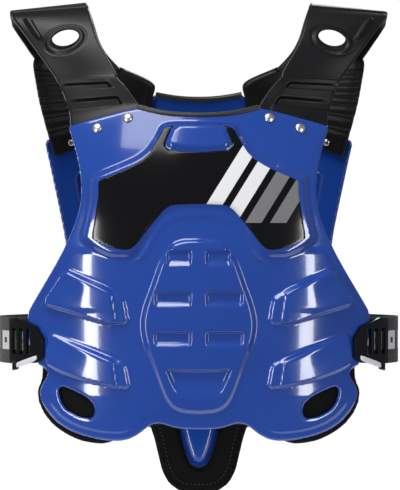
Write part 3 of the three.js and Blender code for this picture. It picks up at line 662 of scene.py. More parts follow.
back_outline = rounded(whole_outline(BACK, BACK_NECK + BACK_SIDE), 1)
back_shell = shell("back_shell", BACK, back_outline, [], back_relief, BACK_PITCH, WALL, 0)
dress(back_shell, blue, "back_plate")

# %% [markdown]
# Closed-cell foam lines both shells. Its edge is rounded where it was cut and pressed, and a
# stitched line runs inside the edge. The back liner reaches below its shell and makes the tail.

# %% Foam
FOAM_WALL = 7 * MM
FOAM_GAP = 0.9 * MM
CHEST_FOAM = [
    (0, 0.05), (0.26, 0.038), (0.3, 0.1), (0.7, 0.16), (0.66, 0.22), (0.66, 0.3), (0.72, 0.4),
    (0.84, 0.52), (0.96, 0.64), (0.96, 0.7), (0.925, 0.782), (0.93, 0.825), (0.96, 0.858),
    (0.952, 0.892), (0.916, 0.931), (0.857, 0.964), (0.78, 0.989), (0.7, 1.006), (0.62, 1.013),
    (0.55, 1.014), (0.43, 0.99), (0.33, 0.955), (0, 0.95),
]
BACK_FOAM = [
    (0.24, 0.06), (0.29, 0.13), (0.73, 0.22), (0.74, 0.31), (0.74, 0.41), (0.76, 0.5), (0.8, 0.6),
    (0.8, 0.7), (0.7, 0.78), (0.45, 0.84), (0.33, 0.862), (0.293, 0.905), (0.27, 0.945),
    (0.245, 0.985), (0.2, 1.018), (0.12, 1.04), (0, 1.044),
]
# the opening in the back liner that the shell's channel passes through
CHANNEL_GAP = [(0, 0.785), (0.165, 0.785), (0.125, 0.895), (0.065, 0.968), (0, 0.982)]
FOAM_PITCH = 2.6 * MM
FOAM_ROUND = 3.2 * MM
FOAM_FALL = 2.6 * MM
FOAM_LIFT = 1.5 * MM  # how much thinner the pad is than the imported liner
SEAM_INSET = 9 * MM
SEAM_SIZE = 0.9 * MM


def quarter_round(to_edge, width):
    """1 inside, and down a quarter of a circle to 0 over a width at the edge."""
    return np.sqrt(np.clip(1 - np.clip(1 + to_edge / width, 0, 1) ** 2, 0, 1))


def foam_relief(flat, to_edge):
    seam = np.exp(-(((to_edge + SEAM_INSET) / SEAM_SIZE) ** 2))
    return -(1 - quarter_round(to_edge, FOAM_ROUND)) * FOAM_FALL - seam * SEAM_SIZE


def foam_pad(name, plate, rows, holes, node):
    outline = rounded(whole_outline(plate, rows), 1)
    wall = FOAM_WALL - FOAM_LIFT
    pad = shell(name, plate, outline, holes, foam_relief, FOAM_PITCH, wall, -FOAM_GAP - wall)
    dress(pad, foam, node)


foam_pad("chest_foam", CHEST, CHEST_FOAM, [], "chest_liner")
foam_pad("back_foam", BACK, BACK_FOAM, [rounded(whole_outline(BACK, CHANNEL_GAP), 1)], "back_liner")

# %% [markdown]
# The seam is a row of short stitches on the tail's inner face. Each one is a stretched ball, turned
# to the seam's heading and half sunk in the low ridge that the foam has there.

# %% Tail seam
STITCH_PITCH = 4.6 * MM
STITCH_STEP = 1 * MM  # how far ahead a stitch looks for its heading
STITCH_HALF = (1.3 * MM, 0.4 * MM, 0.4 * MM)
STITCH_RISE = 0.7 * MM
STITCH_TOP = -452 * MM


def stitch(name, plate, rows):
    """Short grey stitches on a pad's inner face, along a line inside its lower edge."""
    outline = np.array(rounded(whole_outline(plate, rows), 2))
    ahead = np.roll(outline, -1, axis=0) - outline
    inward = np.stack([-ahead[:, 1], ahead[:, 0]], -1)
    inward /= np.maximum(np.linalg.norm(inward, axis=1), TINY)[:, None]
    middle = outline.mean(axis=0)
    inward *= np.where(((middle - outline) * inward).sum(axis=1) > 0, 1, -1)[:, None]
    line = (outline + np.roll(outline, -1, axis=0)) / 2 + inward * SEAM_INSET
    line = line[line[:, 1] < STITCH_TOP]
    line = line[np.argsort(np.arctan2(line[:, 0], -(line[:, 1] - STITCH_TOP)))]
    run = np.concatenate([[0], np.cumsum(np.linalg.norm(np.diff(line, axis=0), axis=1))])
    bm = bmesh.new()
    face = -FOAM_GAP - FOAM_WALL + STITCH_RISE
    for place in np.arange(0, run[-1], STITCH_PITCH):
        x, z = (np.interp(place, run, line[:, i]) for i in (0, 1))
        x_on, z_on = (np.interp(place + STITCH_STEP, run, line[:, i]) for i in (0, 1))
        turn = math.atan2(z_on - z, x_on - x)
        made = bmesh.ops.create_icosphere(bm, subdivisions=1, radius=1)["verts"]
        bmesh.ops.scale(bm, vec=STITCH_HALF, verts=made)
        bmesh.ops.rotate(bm, matrix=Matrix.Rotation(-turn, 3, "Y"), verts=made)
        bmesh.ops.translate(bm, vec=Vector(on_plate(plate, x, z, face)), verts=made)
    seam = new_piece(name, bm)
    seam.data.materials.append(thread)
    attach(seam, "root")
    print(name, len(seam.data.polygons), "faces")


stitch("tail_stitching", BACK, BACK_FOAM)

# %% [markdown]
# Rubber edging is pushed over each neck edge. A round section swept along the edge is close to
# what shows, so a curve with a bevel makes it, and it becomes a mesh at once.

# %% Neck edging
EDGING_RADIUS = 3.3 * MM
EDGING_DROP = 0.5 * MM


def neck_edging(name, plate, rows, node):
    half = half_outline(plate, rows)
    line = [(-x, z) for x, z in half[:0:-1]] + half
    curve = bpy.data.curves.new(name, "CURVE")
    curve.dimensions = "3D"
    curve.bevel_depth = EDGING_RADIUS
    curve.bevel_resolution = 4
    curve.resolution_u = 8
    curve.use_fill_caps = True
    spline = curve.splines.new("NURBS")
    spline.points.add(len(line) - 1)
    for point, (x, z) in zip(spline.points, line):
        place = on_plate(plate, x, z - EDGING_DROP, WALL / 2)
        point.co = (*place, 1)
    spline.use_endpoint_u = True
    spline.order_u = 3
    holder = bpy.data.objects.new(name + "_curve", curve)
    mesh = bpy.data.meshes.new_from_object(holder)
    bpy.data.objects.remove(holder)
    piece = new_piece(name, mesh)
    mesh.materials.clear()
    dress(piece, edging_rubber, node)
    print(name, len(mesh.polygons), "faces")


neck_edging("chest_edging", CHEST, CHEST_NECK, "chest_neck_edging")
neck_edging("back_edging", BACK, BACK_NECK, "back_neck_edging")

# %% [markdown]
# Each shoulder strap is one soft moulding from the chest plate over the shoulder to the back
# plate. A grid follows a table of rows along the strap, and its face is then pressed with an oval
# hole's lip, a long loop and the ladder of grooves that lets each saddle bend.

# %% Strap table
CREST = 8 * MM
STRAP_WALL = 7 * MM
STRAP_GAP = 0.8 * MM
# plate, inner across, inner down, outer across, outer down, out, yaw
STRAP_ROWS = [
    (CHEST, 0.348, 1.229, 0.69, 1.33, None, 1),
    (CHEST, 0.348, 1, 0.751, 1.161, None, 1),
    (CHEST, 0.365, 0.941, 0.765, 1.017, None, 1),
    (CHEST, 0.431, 0.797, 0.807, 0.839, 0.525, 0.9),
    (CHEST, 0.481, 0.712, 0.843, 0.729, 0.497, 0.8),
    (CHEST, 0.492, 0.653, 0.871, 0.653, 0.475, 0.7),
    (CHEST, 0.591, 0.378, 1, 0.378, 0.38, 0.4),
    (CHEST, 0.635, 0.161, 1.102, 0.161, 0.27, 0.2),
    (CHEST, 0.661, 0.025, 1.133, 0.076, 0.145, 0.1),
    (BACK, 0.678, -0.034, 1.144, 0.068, 0.03, 0),
    (BACK, 0.669, 0.01, 1.144, 0.115, 0.22, 0.1),
    (BACK, 0.646, 0.154, 1.138, 0.202, 0.345, 0.2),
    (BACK, 0.619, 0.337, 1.094, 0.356, 0.43, 0.35),
    (BACK, 0.575, 0.5, 1.05, 0.5, 0.475, 0.55),
    (BACK, 0.5, 0.66, 1.0, 0.65, 0.5, 0.8),
    (BACK, 0.46, 0.69, 1.015, 0.69, 0.515, 0.9),
    (BACK, 0.287, 0.85, 1.0, 0.885, None, 1),
    (BACK, 0.287, 1.03, 0.972, 1.2, None, 1),
    (BACK, 0.309, 1.28, 0.9, 1.76, None, 1),
]
STRAP_ACROSS = 54
STRAP_ALONG = 400
STRAP_SPAN = 76 * MM  # its width, which turns a share across it into a length
# places along the strap are counted in rows
FRONT_GROOVES = (2.25, 3.3)
FRONT_SADDLE_END = 4.05
BACK_RIBS = tuple(15.3 + 0.27 * i for i in range(9))
GROOVE_DEPTH = 5 * MM
SADDLE_DEPTH = 1.3 * MM
BAND_DEPTH = 0.5 * MM
RIB_DEPTH = 1.8 * MM
LINING_RIB_DEPTH = 2.4 * MM
LINING_RIM = (4 * MM, 1.4 * MM, 0.9 * MM)
STRAP_ROUND = 2 * MM
STRAP_FALL = 1.5 * MM
# distance from the oval hole or the edge, width and height
OVAL_LIP = (2.6 * MM, 1.5 * MM, 1.5 * MM)
OVAL_MOAT = (5.4 * MM, 1.3 * MM, 1.2 * MM)
LOOP_RISE = 4.4 * MM
LOOP_SLOPE = 1.5 * MM


def strap_row_points(row, shares):
    plate, inner, inner_down, outer, outer_down, out, yaw = row
    drop = CREST - plate["top"]
    x = (inner + shares * (outer - inner)) * CHEST_HALF_WIDTH
    z = CREST - (inner_down + shares * (outer_down - inner_down)) * drop
    middle_x, middle_z = x.mean(), z.mean()
    if out is None:
        depth = reach(plate, x, z) - STRAP_GAP
    else:
        turn = reach(plate, x, middle_z) - reach(plate, np.full_like(x, middle_x), middle_z)
        depth = plate["depth"] * out + yaw * turn
    return np.stack([x, plate["side"] * depth, z], -1)


def along_rows(points, place):
    """A smooth curve through the rows' points, at a place counted in rows."""
    i = int(min(max(math.floor(place), 0), len(points) - 2))
    t = place - i
    before = points[max(i - 1, 0)]
    a, b = points[i], points[i + 1]
    after = points[min(i + 2, len(points) - 1)]
    return 0.5 * (2 * a + (b - before) * t + (2 * before - 5 * a + 4 * b - after) * t**2
                  + (3 * a - before - 3 * b + after) * t**3)


def strap_surface():
    shares = np.linspace(0, 1, STRAP_ACROSS + 1)
    rows = [strap_row_points(row, shares) for row in STRAP_ROWS]
    places = np.linspace(0, len(rows) - 1, STRAP_ALONG + 1)
    return shares, places, np.array([along_rows(rows, p) for p in places])


print("strap rows", len(STRAP_ROWS))

# %% [markdown]
# What is pressed into the strap is worked out as a depth at each point of its face, from the
# point's share across and its place along. Slots made this way keep their soft, rounded walls.

# %% Strap pressing
def groove(place, middle, half_width, slope):
    return ramp(np.abs(place - middle) - half_width, slope, 0.3)


def ridge(distance, sizes):
    middle, width, height = sizes
    return height * np.exp(-(((distance - middle) / width) ** 2))


def strap_edge(share):
    return np.minimum(share, 1 - share) * STRAP_SPAN


def strap_pressing(share, place, points):
    """How deep the strap's face is pressed in, in metres, negative where it is raised."""
    depth = np.zeros(len(place))
    past_band = np.clip((share - 0.2) / 0.03, 0, 1)
    for middle in FRONT_GROOVES:
        slanted = place + 0.12 * (0.6 - share)
        depth += GROOVE_DEPTH * groove(slanted, middle, 0.27, 0.07) * past_band
    saddle = ramp(place - FRONT_SADDLE_END, 0.1)
    depth += SADDLE_DEPTH * (1 - saddle) * (place < 8)
    depth += BAND_DEPTH * saddle * ramp(np.abs(share - 0.1) - 0.1, 0.03)
    for middle in BACK_RIBS:
        depth += RIB_DEPTH * groove(place, middle, 0.07, 0.05) * past_band
    to_oval = oval_distance(points)
    depth += ridge(to_oval, OVAL_MOAT) - ridge(to_oval, OVAL_LIP)
    depth -= LOOP_RISE * ramp(loop_distance(share, place), LOOP_SLOPE, 0.3)
    return depth + STRAP_FALL * (1 - quarter_round(-strap_edge(share), STRAP_ROUND))


def strap_lining(share, place):
    """How far the strap's inner face is pressed up from its full thickness."""
    height = np.zeros(len(place))
    past_band = np.clip((share - 0.3) / 0.04, 0, 1)
    for middle in BACK_RIBS:
        height += LINING_RIB_DEPTH * groove(place, middle, 0.06, 0.06) * past_band
    height += STRAP_FALL * (1 - quarter_round(-strap_edge(share), STRAP_ROUND))
    return height - ridge(strap_edge(share), LINING_RIM) * (place > 14)


OVAL_HALF = 16 * MM
OVAL_RISE_HALF = 10.5 * MM
OVAL_TILT = 0.33
OVAL_SCALE = 1.2  # brings the oval's own measure near a distance on its long side
CUTTER_LENGTH = 70 * MM
CUTTER_MIDDLE = 45 * MM
STRAP_OVALS = [(CHEST, 0.796, 0.355), (BACK, 0.82, 0.32)]


def oval_place(plate, across, down):
    return across * CHEST_HALF_WIDTH, CREST - down * (CREST - plate["top"])


def oval_distance(points):
    best = np.full(len(points), 1.0)
    for plate, across, down in STRAP_OVALS:
        x0, z0 = oval_place(plate, across, down)
        dx, dz = points[:, 0] - x0, points[:, 2] - z0
        u = (dx * math.cos(OVAL_TILT) - dz * math.sin(OVAL_TILT)) / OVAL_HALF
        v = (dx * math.sin(OVAL_TILT) + dz * math.cos(OVAL_TILT)) / OVAL_RISE_HALF
        size = np.hypot(u, v)
        gap = (size - 1) * OVAL_RISE_HALF * OVAL_SCALE
        same_half = points[:, 1] * plate["side"] > 0
        best = np.where(same_half, np.minimum(best, np.abs(gap)), best)
    return best


LOOP_PLACES = (6.2, 6.95)
LOOP_SHARE = 0.83
LOOP_HALF_WIDTH = 3.8 * MM
ROW_LENGTH = 26 * MM  # about the distance between two rows near the loop


def loop_distance(share, place):
    low, high = LOOP_PLACES
    along = np.clip(place, low, high)
    across = (share - LOOP_SHARE) * STRAP_SPAN
    return np.hypot((place - along) * ROW_LENGTH, across) - LOOP_HALF_WIDTH


print("ribs of the rear saddle", len(BACK_RIBS))

# %% [markdown]
# The strap's body is a grid with one point for each share across and each place along. Its face is
# pressed in, then the whole grid is extruded once to the lining, and a boolean cuts the oval hole,
# because a hole that slants through a curved strap is plain work for a cutter.


# %% Strap body
def strap(name, mirror_it):
    shares, places, surface = strap_surface()
    bm = bmesh.new()
    bmesh.ops.create_grid(bm, x_segments=STRAP_ACROSS, y_segments=STRAP_ALONG, size=1)
    mesh = bpy.data.meshes.new(name)
    bm.to_mesh(mesh)
    bm.free()
    flat = np.array([v.co[:2] for v in mesh.vertices])
    column = np.rint((flat[:, 0] + 1) / 2 * STRAP_ACROSS).astype(int)
    line = np.rint((flat[:, 1] + 1) / 2 * STRAP_ALONG).astype(int)
    face = surface[line, column]
    ahead = surface[np.minimum(line + 1, STRAP_ALONG), column]
    behind = surface[np.maximum(line - 1, 0), column]
    along = ahead - behind
    inward = np.stack([np.zeros(len(along)), along[:, 2], -along[:, 1]], -1)
    inward /= np.linalg.norm(inward, axis=1)[:, None]
    pressed = strap_pressing(shares[column], places[line], face)
    outer = face + inward * pressed[:, None]
    piece = new_piece(name, mesh)
    bm = bmesh.new()
    bm.from_mesh(mesh)
    order = bm.verts.layers.int.new("order")
    for vertex in bm.verts:
        vertex[order] = vertex.index
    made = bmesh.ops.extrude_face_region(bm, geom=bm.faces[:])
    lower = {v for v in made["geom"] if isinstance(v, bmesh.types.BMVert)}
    back = face + inward * (STRAP_WALL - strap_lining(shares[column], places[line]))[:, None]
    for vertex in bm.verts:
        vertex.co = (back if vertex in lower else outer)[vertex[order]]
    bm.verts.layers.int.remove(order)
    bmesh.ops.recalc_face_normals(bm, faces=bm.faces[:])
    if mirror_it:
        bmesh.ops.scale(bm, vec=(-1, 1, 1), verts=bm.verts)
        bmesh.ops.reverse_faces(bm, faces=bm.faces[:])
    bm.to_mesh(mesh)
    bm.free()
    print(name, len(mesh.polygons), "faces")
    return piece


def oval_cutter(mirror_it):
    bm = bmesh.new()
    for plate, across, down in STRAP_OVALS:
        x0, z0 = oval_place(plate, across, down)
        made = bmesh.ops.create_cone(bm, cap_ends=True, segments=48, radius1=1, radius2=1, depth=1)
        verts = made["verts"]
        bmesh.ops.scale(bm, vec=(OVAL_HALF, OVAL_RISE_HALF, CUTTER_LENGTH), verts=verts)
        turn = Matrix.Rotation(math.pi / 2, 3, "X")
        bmesh.ops.rotate(bm, matrix=turn, verts=verts)
        bmesh.ops.rotate(bm, matrix=Matrix.Rotation(OVAL_TILT, 3, "Y"), verts=verts)
        bmesh.ops.translate(bm, vec=(x0, plate["side"] * CUTTER_MIDDLE, z0), verts=verts)
    if mirror_it:
        bmesh.ops.scale(bm, vec=(-1, 1, 1), verts=bm.verts)
        bmesh.ops.reverse_faces(bm, faces=bm.faces[:])
    return new_piece("oval_cutter", bm)


def cut_with(piece, cutter):
    modifier = piece.modifiers.new("cut", "BOOLEAN")
    modifier.object = cutter
    modifier.operation = "DIFFERENCE"
    modifier.solver = "EXACT"
    graph = bpy.context.evaluated_depsgraph_get()
    mesh = bpy.data.meshes.new_from_object(piece.evaluated_get(graph))
    piece.modifiers.clear()
    piece.data = mesh
    bpy.data.objects.remove(cutter)


# %% Straps
for side, mirror_it in (("left", False), ("right", True)):
    strap_piece = strap("strap_" + side, mirror_it)
    cut_with(strap_piece, oval_cutter(mirror_it))
    strap_piece.data.materials.clear()
    dress(strap_piece, charcoal, "shoulder_strap_" + side)

# %% [markdown]
# A rivet's head is a low polished dome. Its profile is spun once round its axis and the same
# profile serves every rivet, set square to the shell at its own place.

# %% Rivets
CHEST_RIVETS = [(0.41, 0.034), (0.589, 0.064)]
BACK_RIVETS = [(0.47, 0.085), (0.855, 0.124)]
WEBBING_LEVEL = -357 * MM
WEBBING_WALL = 2 * MM
WEBBING_RIVET_ACROSS = 0.85
HEAD_RADIUS = 5.5 * MM
HEAD_HEIGHT = 3 * MM
SHANK_RADIUS = 2 * MM
TAIL_RADIUS = 3.8 * MM
TAIL_HEIGHT = 1.2 * MM
HEAD_GAP = 0.2 * MM
TAIL_GAP = 0.4 * MM
WEBBING_GAP = 0.5 * MM


def rivet(name, plate, x, z, grip, cover, node):
    under = WALL + cover + HEAD_GAP
    inside = -grip
    dome = [(HEAD_RADIUS * math.cos(a), under + HEAD_HEIGHT * (0.15 + 0.85 * math.sin(a)))
            for a in np.linspace(0, math.pi / 2, 9)]
    tail = [(0, inside - TAIL_HEIGHT), (TAIL_RADIUS * 0.85, inside - TAIL_HEIGHT),
            (TAIL_RADIUS, inside - TAIL_HEIGHT * 0.7), (TAIL_RADIUS, inside)]
    shank = [(SHANK_RADIUS, inside), (SHANK_RADIUS, under), (HEAD_RADIUS, under)]
    bm = bmesh.new()
    verts = [bm.verts.new((r, 0, h)) for r, h in tail + shank + dome]
    edges = [bm.edges.new(pair) for pair in zip(verts, verts[1:])]
    bmesh.ops.spin(bm, geom=verts + edges, cent=(0, 0, 0), axis=(0, 0, 1),
                   angle=2 * math.pi, steps=32, use_merge=True)
    bmesh.ops.remove_doubles(bm, verts=bm.verts, dist=1e-6)
    bmesh.ops.recalc_face_normals(bm, faces=bm.faces[:])
    turn = outward(plate, x, z).to_track_quat("Z", "Y").to_matrix()
    bmesh.ops.rotate(bm, matrix=turn, verts=bm.verts)
    bmesh.ops.translate(bm, vec=Vector(on_plate(plate, x, z, 0)), verts=bm.verts)
    piece = new_piece(name, bm)
    dress(piece, nickel, node)


strap_grip = STRAP_GAP + STRAP_WALL + TAIL_GAP
webbing_cover = WEBBING_WALL + WEBBING_GAP
webbing_rivet_x = WEBBING_RIVET_ACROSS * BACK_HALF_WIDTH
for side, sign in (("left", 1), ("right", -1)):
    for end, plate, places in (("chest", CHEST, CHEST_RIVETS), ("back", BACK, BACK_RIVETS)):
        for i, (x, z) in enumerate(half_outline(plate, places), start=1):
            label = f"{i}_{side}"
            rivet(f"{end}_stud_{label}", plate, sign * x, z, strap_grip, 0, f"{end}_rivet_{label}")
    rivet(f"webbing_stud_{side}", BACK, sign * webbing_rivet_x, WEBBING_LEVEL,
          WEBBING_GAP, webbing_cover, f"webbing_rivet_{side}")
print("rivets", 2 * (len(CHEST_RIVETS) + len(BACK_RIVETS) + 1))

# %% [markdown]
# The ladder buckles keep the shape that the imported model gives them. A copy of each is merged, and
# its sharp edges are bevelled, so that they catch the thin bright lines of polished nylon.

# %% Buckles
def softened(name, node, width):
    bm = bmesh.new()
    bm.from_mesh(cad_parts[node].data)
    bmesh.ops.remove_doubles(bm, verts=bm.verts, dist=2e-5)
    bmesh.ops.dissolve_limit(bm, angle_limit=math.radians(4), verts=bm.verts, edges=bm.edges)
    sharp = [e for e in bm.edges if len(e.link_faces) == 2 and e.calc_face_angle(0) > math.radians(35)]
    bmesh.ops.bevel(bm, geom=sharp, offset=width, segments=3, profile=0.5, affect="EDGES",
                    material=-1, clamp_overlap=True)
    return new_piece(name, bm)


print("a buckle's packed faces", len(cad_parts["side_buckle_left"].data.polygons))

# %% [markdown]
# A lip with a black end stands below each buckle. Its pale colour is a painted highlight, standing in
# for the bright reflection along the buckle's lower edge. A bevelled box is bent over the chest's form
# for each part of it, and both are joined to the buckle's own mesh.

# %% Buckle lip
LIP_INNER = 167 * MM
LIP_OUTER = 188.5 * MM
LIP_SLANT = 0.42
LIP_FOOT = -376.4 * MM
LIP_HEAD = -370.8 * MM
LIP_OFFSETS = (5 * MM, 9.5 * MM)
CAP_OUTER = LIP_OUTER + 4 * MM
CAP_FOOT = LIP_FOOT - 1.5 * MM
CAP_HEAD = LIP_HEAD + 2 * MM
CAP_OFFSETS = (4 * MM, 9.8 * MM)
BUCKLE_EDGE = 0.8 * MM


def bent_bar(bm, sign, low, high, foot, head, offsets, slot):
    """A bar along a buckle's edge: a cut-up box, laid over the chest's form and bevelled."""
    made = bmesh.ops.create_cube(bm, size=1)
    verts = made["verts"]
    edges = list({e for v in verts for e in v.link_edges})
    rounding = bmesh.ops.bevel(bm, geom=edges, offset=0.18, segments=3, profile=0.5, affect="EDGES",
                               material=-1, clamp_overlap=True)
    verts = list({v for v in rounding["verts"]} | {v for v in verts if v.is_valid})
    for v in verts:
        x = low + (v.co.x + 0.5) * (high - low)
        z = foot + (v.co.z + 0.5) * (head - foot) - LIP_SLANT * (x - LIP_INNER)
        offset = offsets[0] + (v.co.y + 0.5) * (offsets[1] - offsets[0])
        v.co = on_plate(CHEST, sign * x, z, offset)
    faces = {f for v in verts for f in v.link_faces}
    for face in faces:
        face.material_index = slot
    bmesh.ops.recalc_face_normals(bm, faces=list(faces))


def add_lip(ladder, sign):
    bm = bmesh.new()
    bm.from_mesh(ladder.data)
    bent_bar(bm, sign, LIP_INNER, LIP_OUTER, LIP_FOOT, LIP_HEAD, LIP_OFFSETS, 1)
    bent_bar(bm, sign, LIP_OUTER, CAP_OUTER, CAP_FOOT, CAP_HEAD, CAP_OFFSETS, 0)
    bm.to_mesh(ladder.data)
    bm.free()
    for face in ladder.data.polygons:
        face.use_smooth = True


for side, sign in (("left", 1), ("right", -1)):
    ladder = softened("ladder_" + side, "side_buckle_" + side, BUCKLE_EDGE)
    add_lip(ladder, sign)
    dress(ladder, gloss_black, "side_buckle_" + side)
    # the lip's pale finish is a painted highlight, not the colour of the part itself
    ladder.data.materials.append(painted_highlight_nylon)
    print(ladder.name, len(ladder.data.polygons), "faces")

# %% [markdown]
# Elastic webbing is a flat woven strip. It is modelled straight along its route, as a strip that
# stands on edge, and its own map runs along it, so the ribs of the weave and the light blocks
# woven along its middle follow it round the side.

# %% Webbing finish
BLOCKS_PER_METRE = 34.0
RIBS_PER_WIDTH = 130.0
PICKS_PER_METRE = 4200.0
BLACK_YARN = (0.01, 0.01, 0.011)
PALE_YARN = (0.55, 0.55, 0.56)


def near(tree, value, middle, half):
    """A mask that is 1 within a half width of a middle value."""
    gap = math_node(tree, "ABSOLUTE", math_node(tree, "SUBTRACT", value, middle))
    return math_node(tree, "LESS_THAN", gap, half)


def webbing_material():
    made, tree, shader = material("elastic_webbing", BLACK_YARN, 0.85)
    shader.inputs["Sheen Weight"].default_value = 0.15
    uv = add_node(tree, "ShaderNodeUVMap", uv_map="strip")
    split = add_node(tree, "ShaderNodeSeparateXYZ")
    tree.links.new(uv.outputs["UV"], split.inputs[0])
    along, across = split.outputs["X"], split.outputs["Y"]
    part = math_node(tree, "FRACT", math_node(tree, "MULTIPLY", along, BLOCKS_PER_METRE))
    block = math_node(tree, "LESS_THAN", part, 0.6)
    hole = math_node(tree, "MULTIPLY", near(tree, part, 0.3, 0.1), near(tree, across, 0.5, 0.06))
    band = math_node(tree, "MULTIPLY", near(tree, across, 0.5, 0.2), block)
    mask = math_node(tree, "MULTIPLY", band, math_node(tree, "SUBTRACT", 1.0, hole))
    tree.links.new(mix_colors(tree, mask, BLACK_YARN, PALE_YARN), shader.inputs["Base Color"])
    ribs = math_node(tree, "SINE", math_node(tree, "MULTIPLY", across, RIBS_PER_WIDTH))
    picks = math_node(tree, "SINE", math_node(tree, "MULTIPLY", along, PICKS_PER_METRE))
    weave = math_node(tree, "ADD", ribs, math_node(tree, "MULTIPLY", picks, 0.6))
    bump(tree, shader, weave, 0.5, 0.0003)
    return made


webbing_finish = webbing_material()
print("nodes in the webbing's finish", len(webbing_finish.node_tree.nodes))

# %% [markdown]
# The strip's route is a smooth curve through a few seats: under the buckle, off the plate's edge,
# round the side and flat on the back plate, where a rivet holds it.

# %% Webbing route
BUCKLE_REACH = 16 * MM
BUCKLE_OUTER = CHEST_HALF_WIDTH + BUCKLE_REACH
BUCKLE_FOOT = WALL + 0.5 * MM
WEBBING_WIDTH = 50 * MM
WEBBING_INSET = 0.5 * MM  # from the chest plate's edge to the webbing's front end
BUCKLE_CLEAR = 3 * MM
BULGE = 5 * MM


def partway(a, b, t, low, high):
    return a + (b - a) * (t - low) / (high - low)


def catmull(points, count):
    """Points along a centripetal curve through a few places."""
    points = [np.array(p) for p in points]
    ends = [2 * points[0] - points[1]] + points + [2 * points[-1] - points[-2]]
    made = []
    for i in range(1, len(ends) - 2):
        p = ends[i - 1:i + 3]
        knots = [0.0]
        for a, b in zip(p, p[1:]):
            knots.append(knots[-1] + max(np.linalg.norm(b - a), TINY) ** 0.5)
        for t in np.linspace(knots[1], knots[2], count, endpoint=False):
            first = [partway(p[j], p[j + 1], t, knots[j], knots[j + 1]) for j in range(3)]
            second = [partway(first[j], first[j + 1], t, knots[j], knots[j + 2]) for j in range(2)]
            made.append(partway(*second, t, knots[1], knots[2]))
    made.append(points[-1])
    return np.array(made)


def webbing_line(level):
    half = WEBBING_WALL / 2
    behind = BUCKLE_FOOT - STRAP_GAP - half
    start = CHEST_HALF_WIDTH + WEBBING_INSET

    def seated(plate, x, offset):
        return on_plate(plate, x, level, offset)[:2]

    under = [seated(CHEST, start + s * (BUCKLE_OUTER - start), behind) for s in (0, 0.33, 0.66, 1)]
    leaving = seated(CHEST, BUCKLE_OUTER + BUCKLE_CLEAR, behind)
    side = np.array([TORSO_HALF_WIDTH, 0])
    lift = WALL + WEBBING_GAP + half
    on_back = [seated(BACK, s * BACK_HALF_WIDTH, lift) for s in (0.95, 0.86, 0.78, 0.7)]
    bulge = np.array([BULGE, 0])
    round_side = [(side + leaving) / 2 + bulge, side, (side + on_back[0]) / 2 + bulge]
    return catmull(under + [leaving] + round_side + on_back, 10)


print("points along the webbing", len(webbing_line(WEBBING_LEVEL)))

# %% Webbing
WEBBING_EDGE = 0.4 * MM


def webbing(side, sign):
    levels = np.linspace(0, 1, 13)
    lines = [webbing_line(WEBBING_LEVEL + (s - 0.5) * WEBBING_WIDTH) for s in levels]
    steps = len(lines[0]) - 1
    bm = bmesh.new()
    bmesh.ops.create_grid(bm, x_segments=steps, y_segments=len(levels) - 1, size=1)
    name = "elastic_" + side
    mesh = bpy.data.meshes.new(name)
    bm.to_mesh(mesh)
    bm.free()
    flat = np.array([v.co[:2] for v in mesh.vertices])
    column = np.rint((flat[:, 0] + 1) / 2 * steps).astype(int)
    line = np.rint((flat[:, 1] + 1) / 2 * (len(levels) - 1)).astype(int)
    heights = WEBBING_LEVEL + (levels - 0.5) * WEBBING_WIDTH
    places = np.array([[*lines[r][c], heights[r]] for c, r in zip(column, line)])
    places[:, 0] *= sign
    place_vertices(mesh, places)
    middle = lines[len(levels) // 2]
    run = np.concatenate([[0], np.cumsum(np.linalg.norm(np.diff(middle, axis=0), axis=1))])
    layer = mesh.uv_layers.new(name="strip")
    corners = np.array([loop.vertex_index for loop in mesh.loops])
    strip = np.stack([run[column[corners]], levels[line[corners]]], -1)
    layer.data.foreach_set("uv", strip.astype(np.float32).ravel())
    if sign < 0:
        mesh.flip_normals()
    piece = new_piece(name, mesh)
    thick = piece.modifiers.new("wall", "SOLIDIFY")
    thick.thickness = WEBBING_WALL
    thick.offset = 0
    rounding = piece.modifiers.new("edge", "BEVEL")
    rounding.width = WEBBING_EDGE
    rounding.segments = 2
    dress(piece, webbing_finish, "side_webbing_" + side)
    print(name, "length", round(float(run[-1]), 4))


webbing("left", 1)
webbing("right", -1)

# %% [markdown]
# The studio is plain: a pale floor below the protector, white all round for the camera, and soft
# boxes. Two tall strips stand left and right of the camera, because the shells' sides mirror them
# as the long pale bands that the photograph shows.

# %% Studio
FLOOR_LEVEL = -0.56
FLOOR_HALF = 0.5
STRIP_AWAY = 1.9
STRIP_LEVEL = -0.33
STRIP_SIZE = (0.22, 1.1)
FLOOR_BACK = 0.3  # the floor's middle lies behind the protector, so it lights little of the front


def softbox(name, place, target, size_x, size_y, power):
    data = bpy.data.lights.new(name, "AREA")
    data.shape = "RECTANGLE"
    data.size, data.size_y = size_x, size_y
    data.energy = power
    light = bpy.data.objects.new(name, data)
    light.location = place
    heading = Vector(target) - Vector(place)
    light.rotation_euler = heading.to_track_quat("-Z", "Y").to_euler()
    bpy.context.scene.collection.objects.link(light)


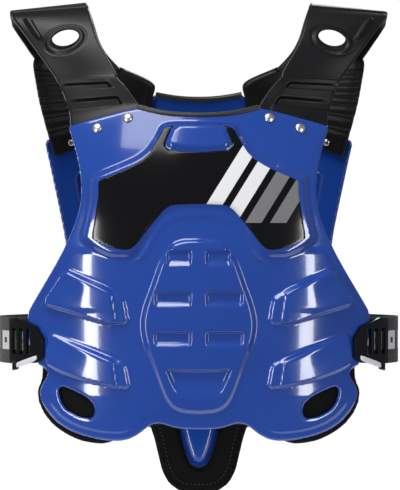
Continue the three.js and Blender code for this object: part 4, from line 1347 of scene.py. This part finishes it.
def studio():
    bm = bmesh.new()
    bmesh.ops.create_grid(bm, x_segments=2, y_segments=2, size=FLOOR_HALF)
    bmesh.ops.translate(bm, vec=(0, FLOOR_BACK, FLOOR_LEVEL), verts=bm.verts)
    floor = new_piece("floor", bm)
    paper, tree, shader = material("pale_floor", (0.86, 0.86, 0.86), 0.9)
    shader.inputs["Emission Color"].default_value = (1, 1, 1, 1)
    shader.inputs["Emission Strength"].default_value = 0.42
    vary_roughness(tree, shader, 3, 0.85, 0.95)
    floor.data.materials.append(paper)
    world = bpy.data.worlds.new("studio")
    bpy.context.scene.world = world
    world.use_nodes = True
    nodes, links = world.node_tree.nodes, world.node_tree.links
    nodes.clear()
    seen = nodes.new("ShaderNodeBackground")
    seen.inputs["Color"].default_value = (1, 1, 1, 1)
    seen.inputs["Strength"].default_value = 1.0
    around = nodes.new("ShaderNodeBackground")
    around.inputs["Color"].default_value = (0.75, 0.78, 0.85, 1)
    around.inputs["Strength"].default_value = 0.25
    path = nodes.new("ShaderNodeLightPath")
    mix = nodes.new("ShaderNodeMixShader")
    output = nodes.new("ShaderNodeOutputWorld")
    links.new(path.outputs["Is Camera Ray"], mix.inputs[0])
    links.new(around.outputs[0], mix.inputs[1])
    links.new(seen.outputs[0], mix.inputs[2])
    links.new(mix.outputs[0], output.inputs[0])


def strip_at(name, azimuth, power):
    angle = math.radians(azimuth)
    place = (STRIP_AWAY * math.sin(angle), -STRIP_AWAY * math.cos(angle), STRIP_LEVEL)
    softbox(name, place, (0, 0, STRIP_LEVEL), *STRIP_SIZE, power)


studio()
strip_at("strip_left", -40.5, 12)
strip_at("strip_right", 40.5, 9)
softbox("top_left", (-0.55, -1.5, 1.2), (0, 0, -0.2), 0.7, 0.5, 5)
softbox("overhead", (-0.72, -0.9, 1.5), (-0.72, 0, -0.25), 1.4, 0.8, 28)
softbox("rear_top", (0.7, 1.6, 0.9), (0, 0, -0.25), 1.2, 1.2, 22)
softbox("rear_low", (-1.6, 1.2, -0.2), (0, 0, -0.25), 0.5, 1.2, 9)
bpy.context.scene.view_settings.view_transform = "Standard"
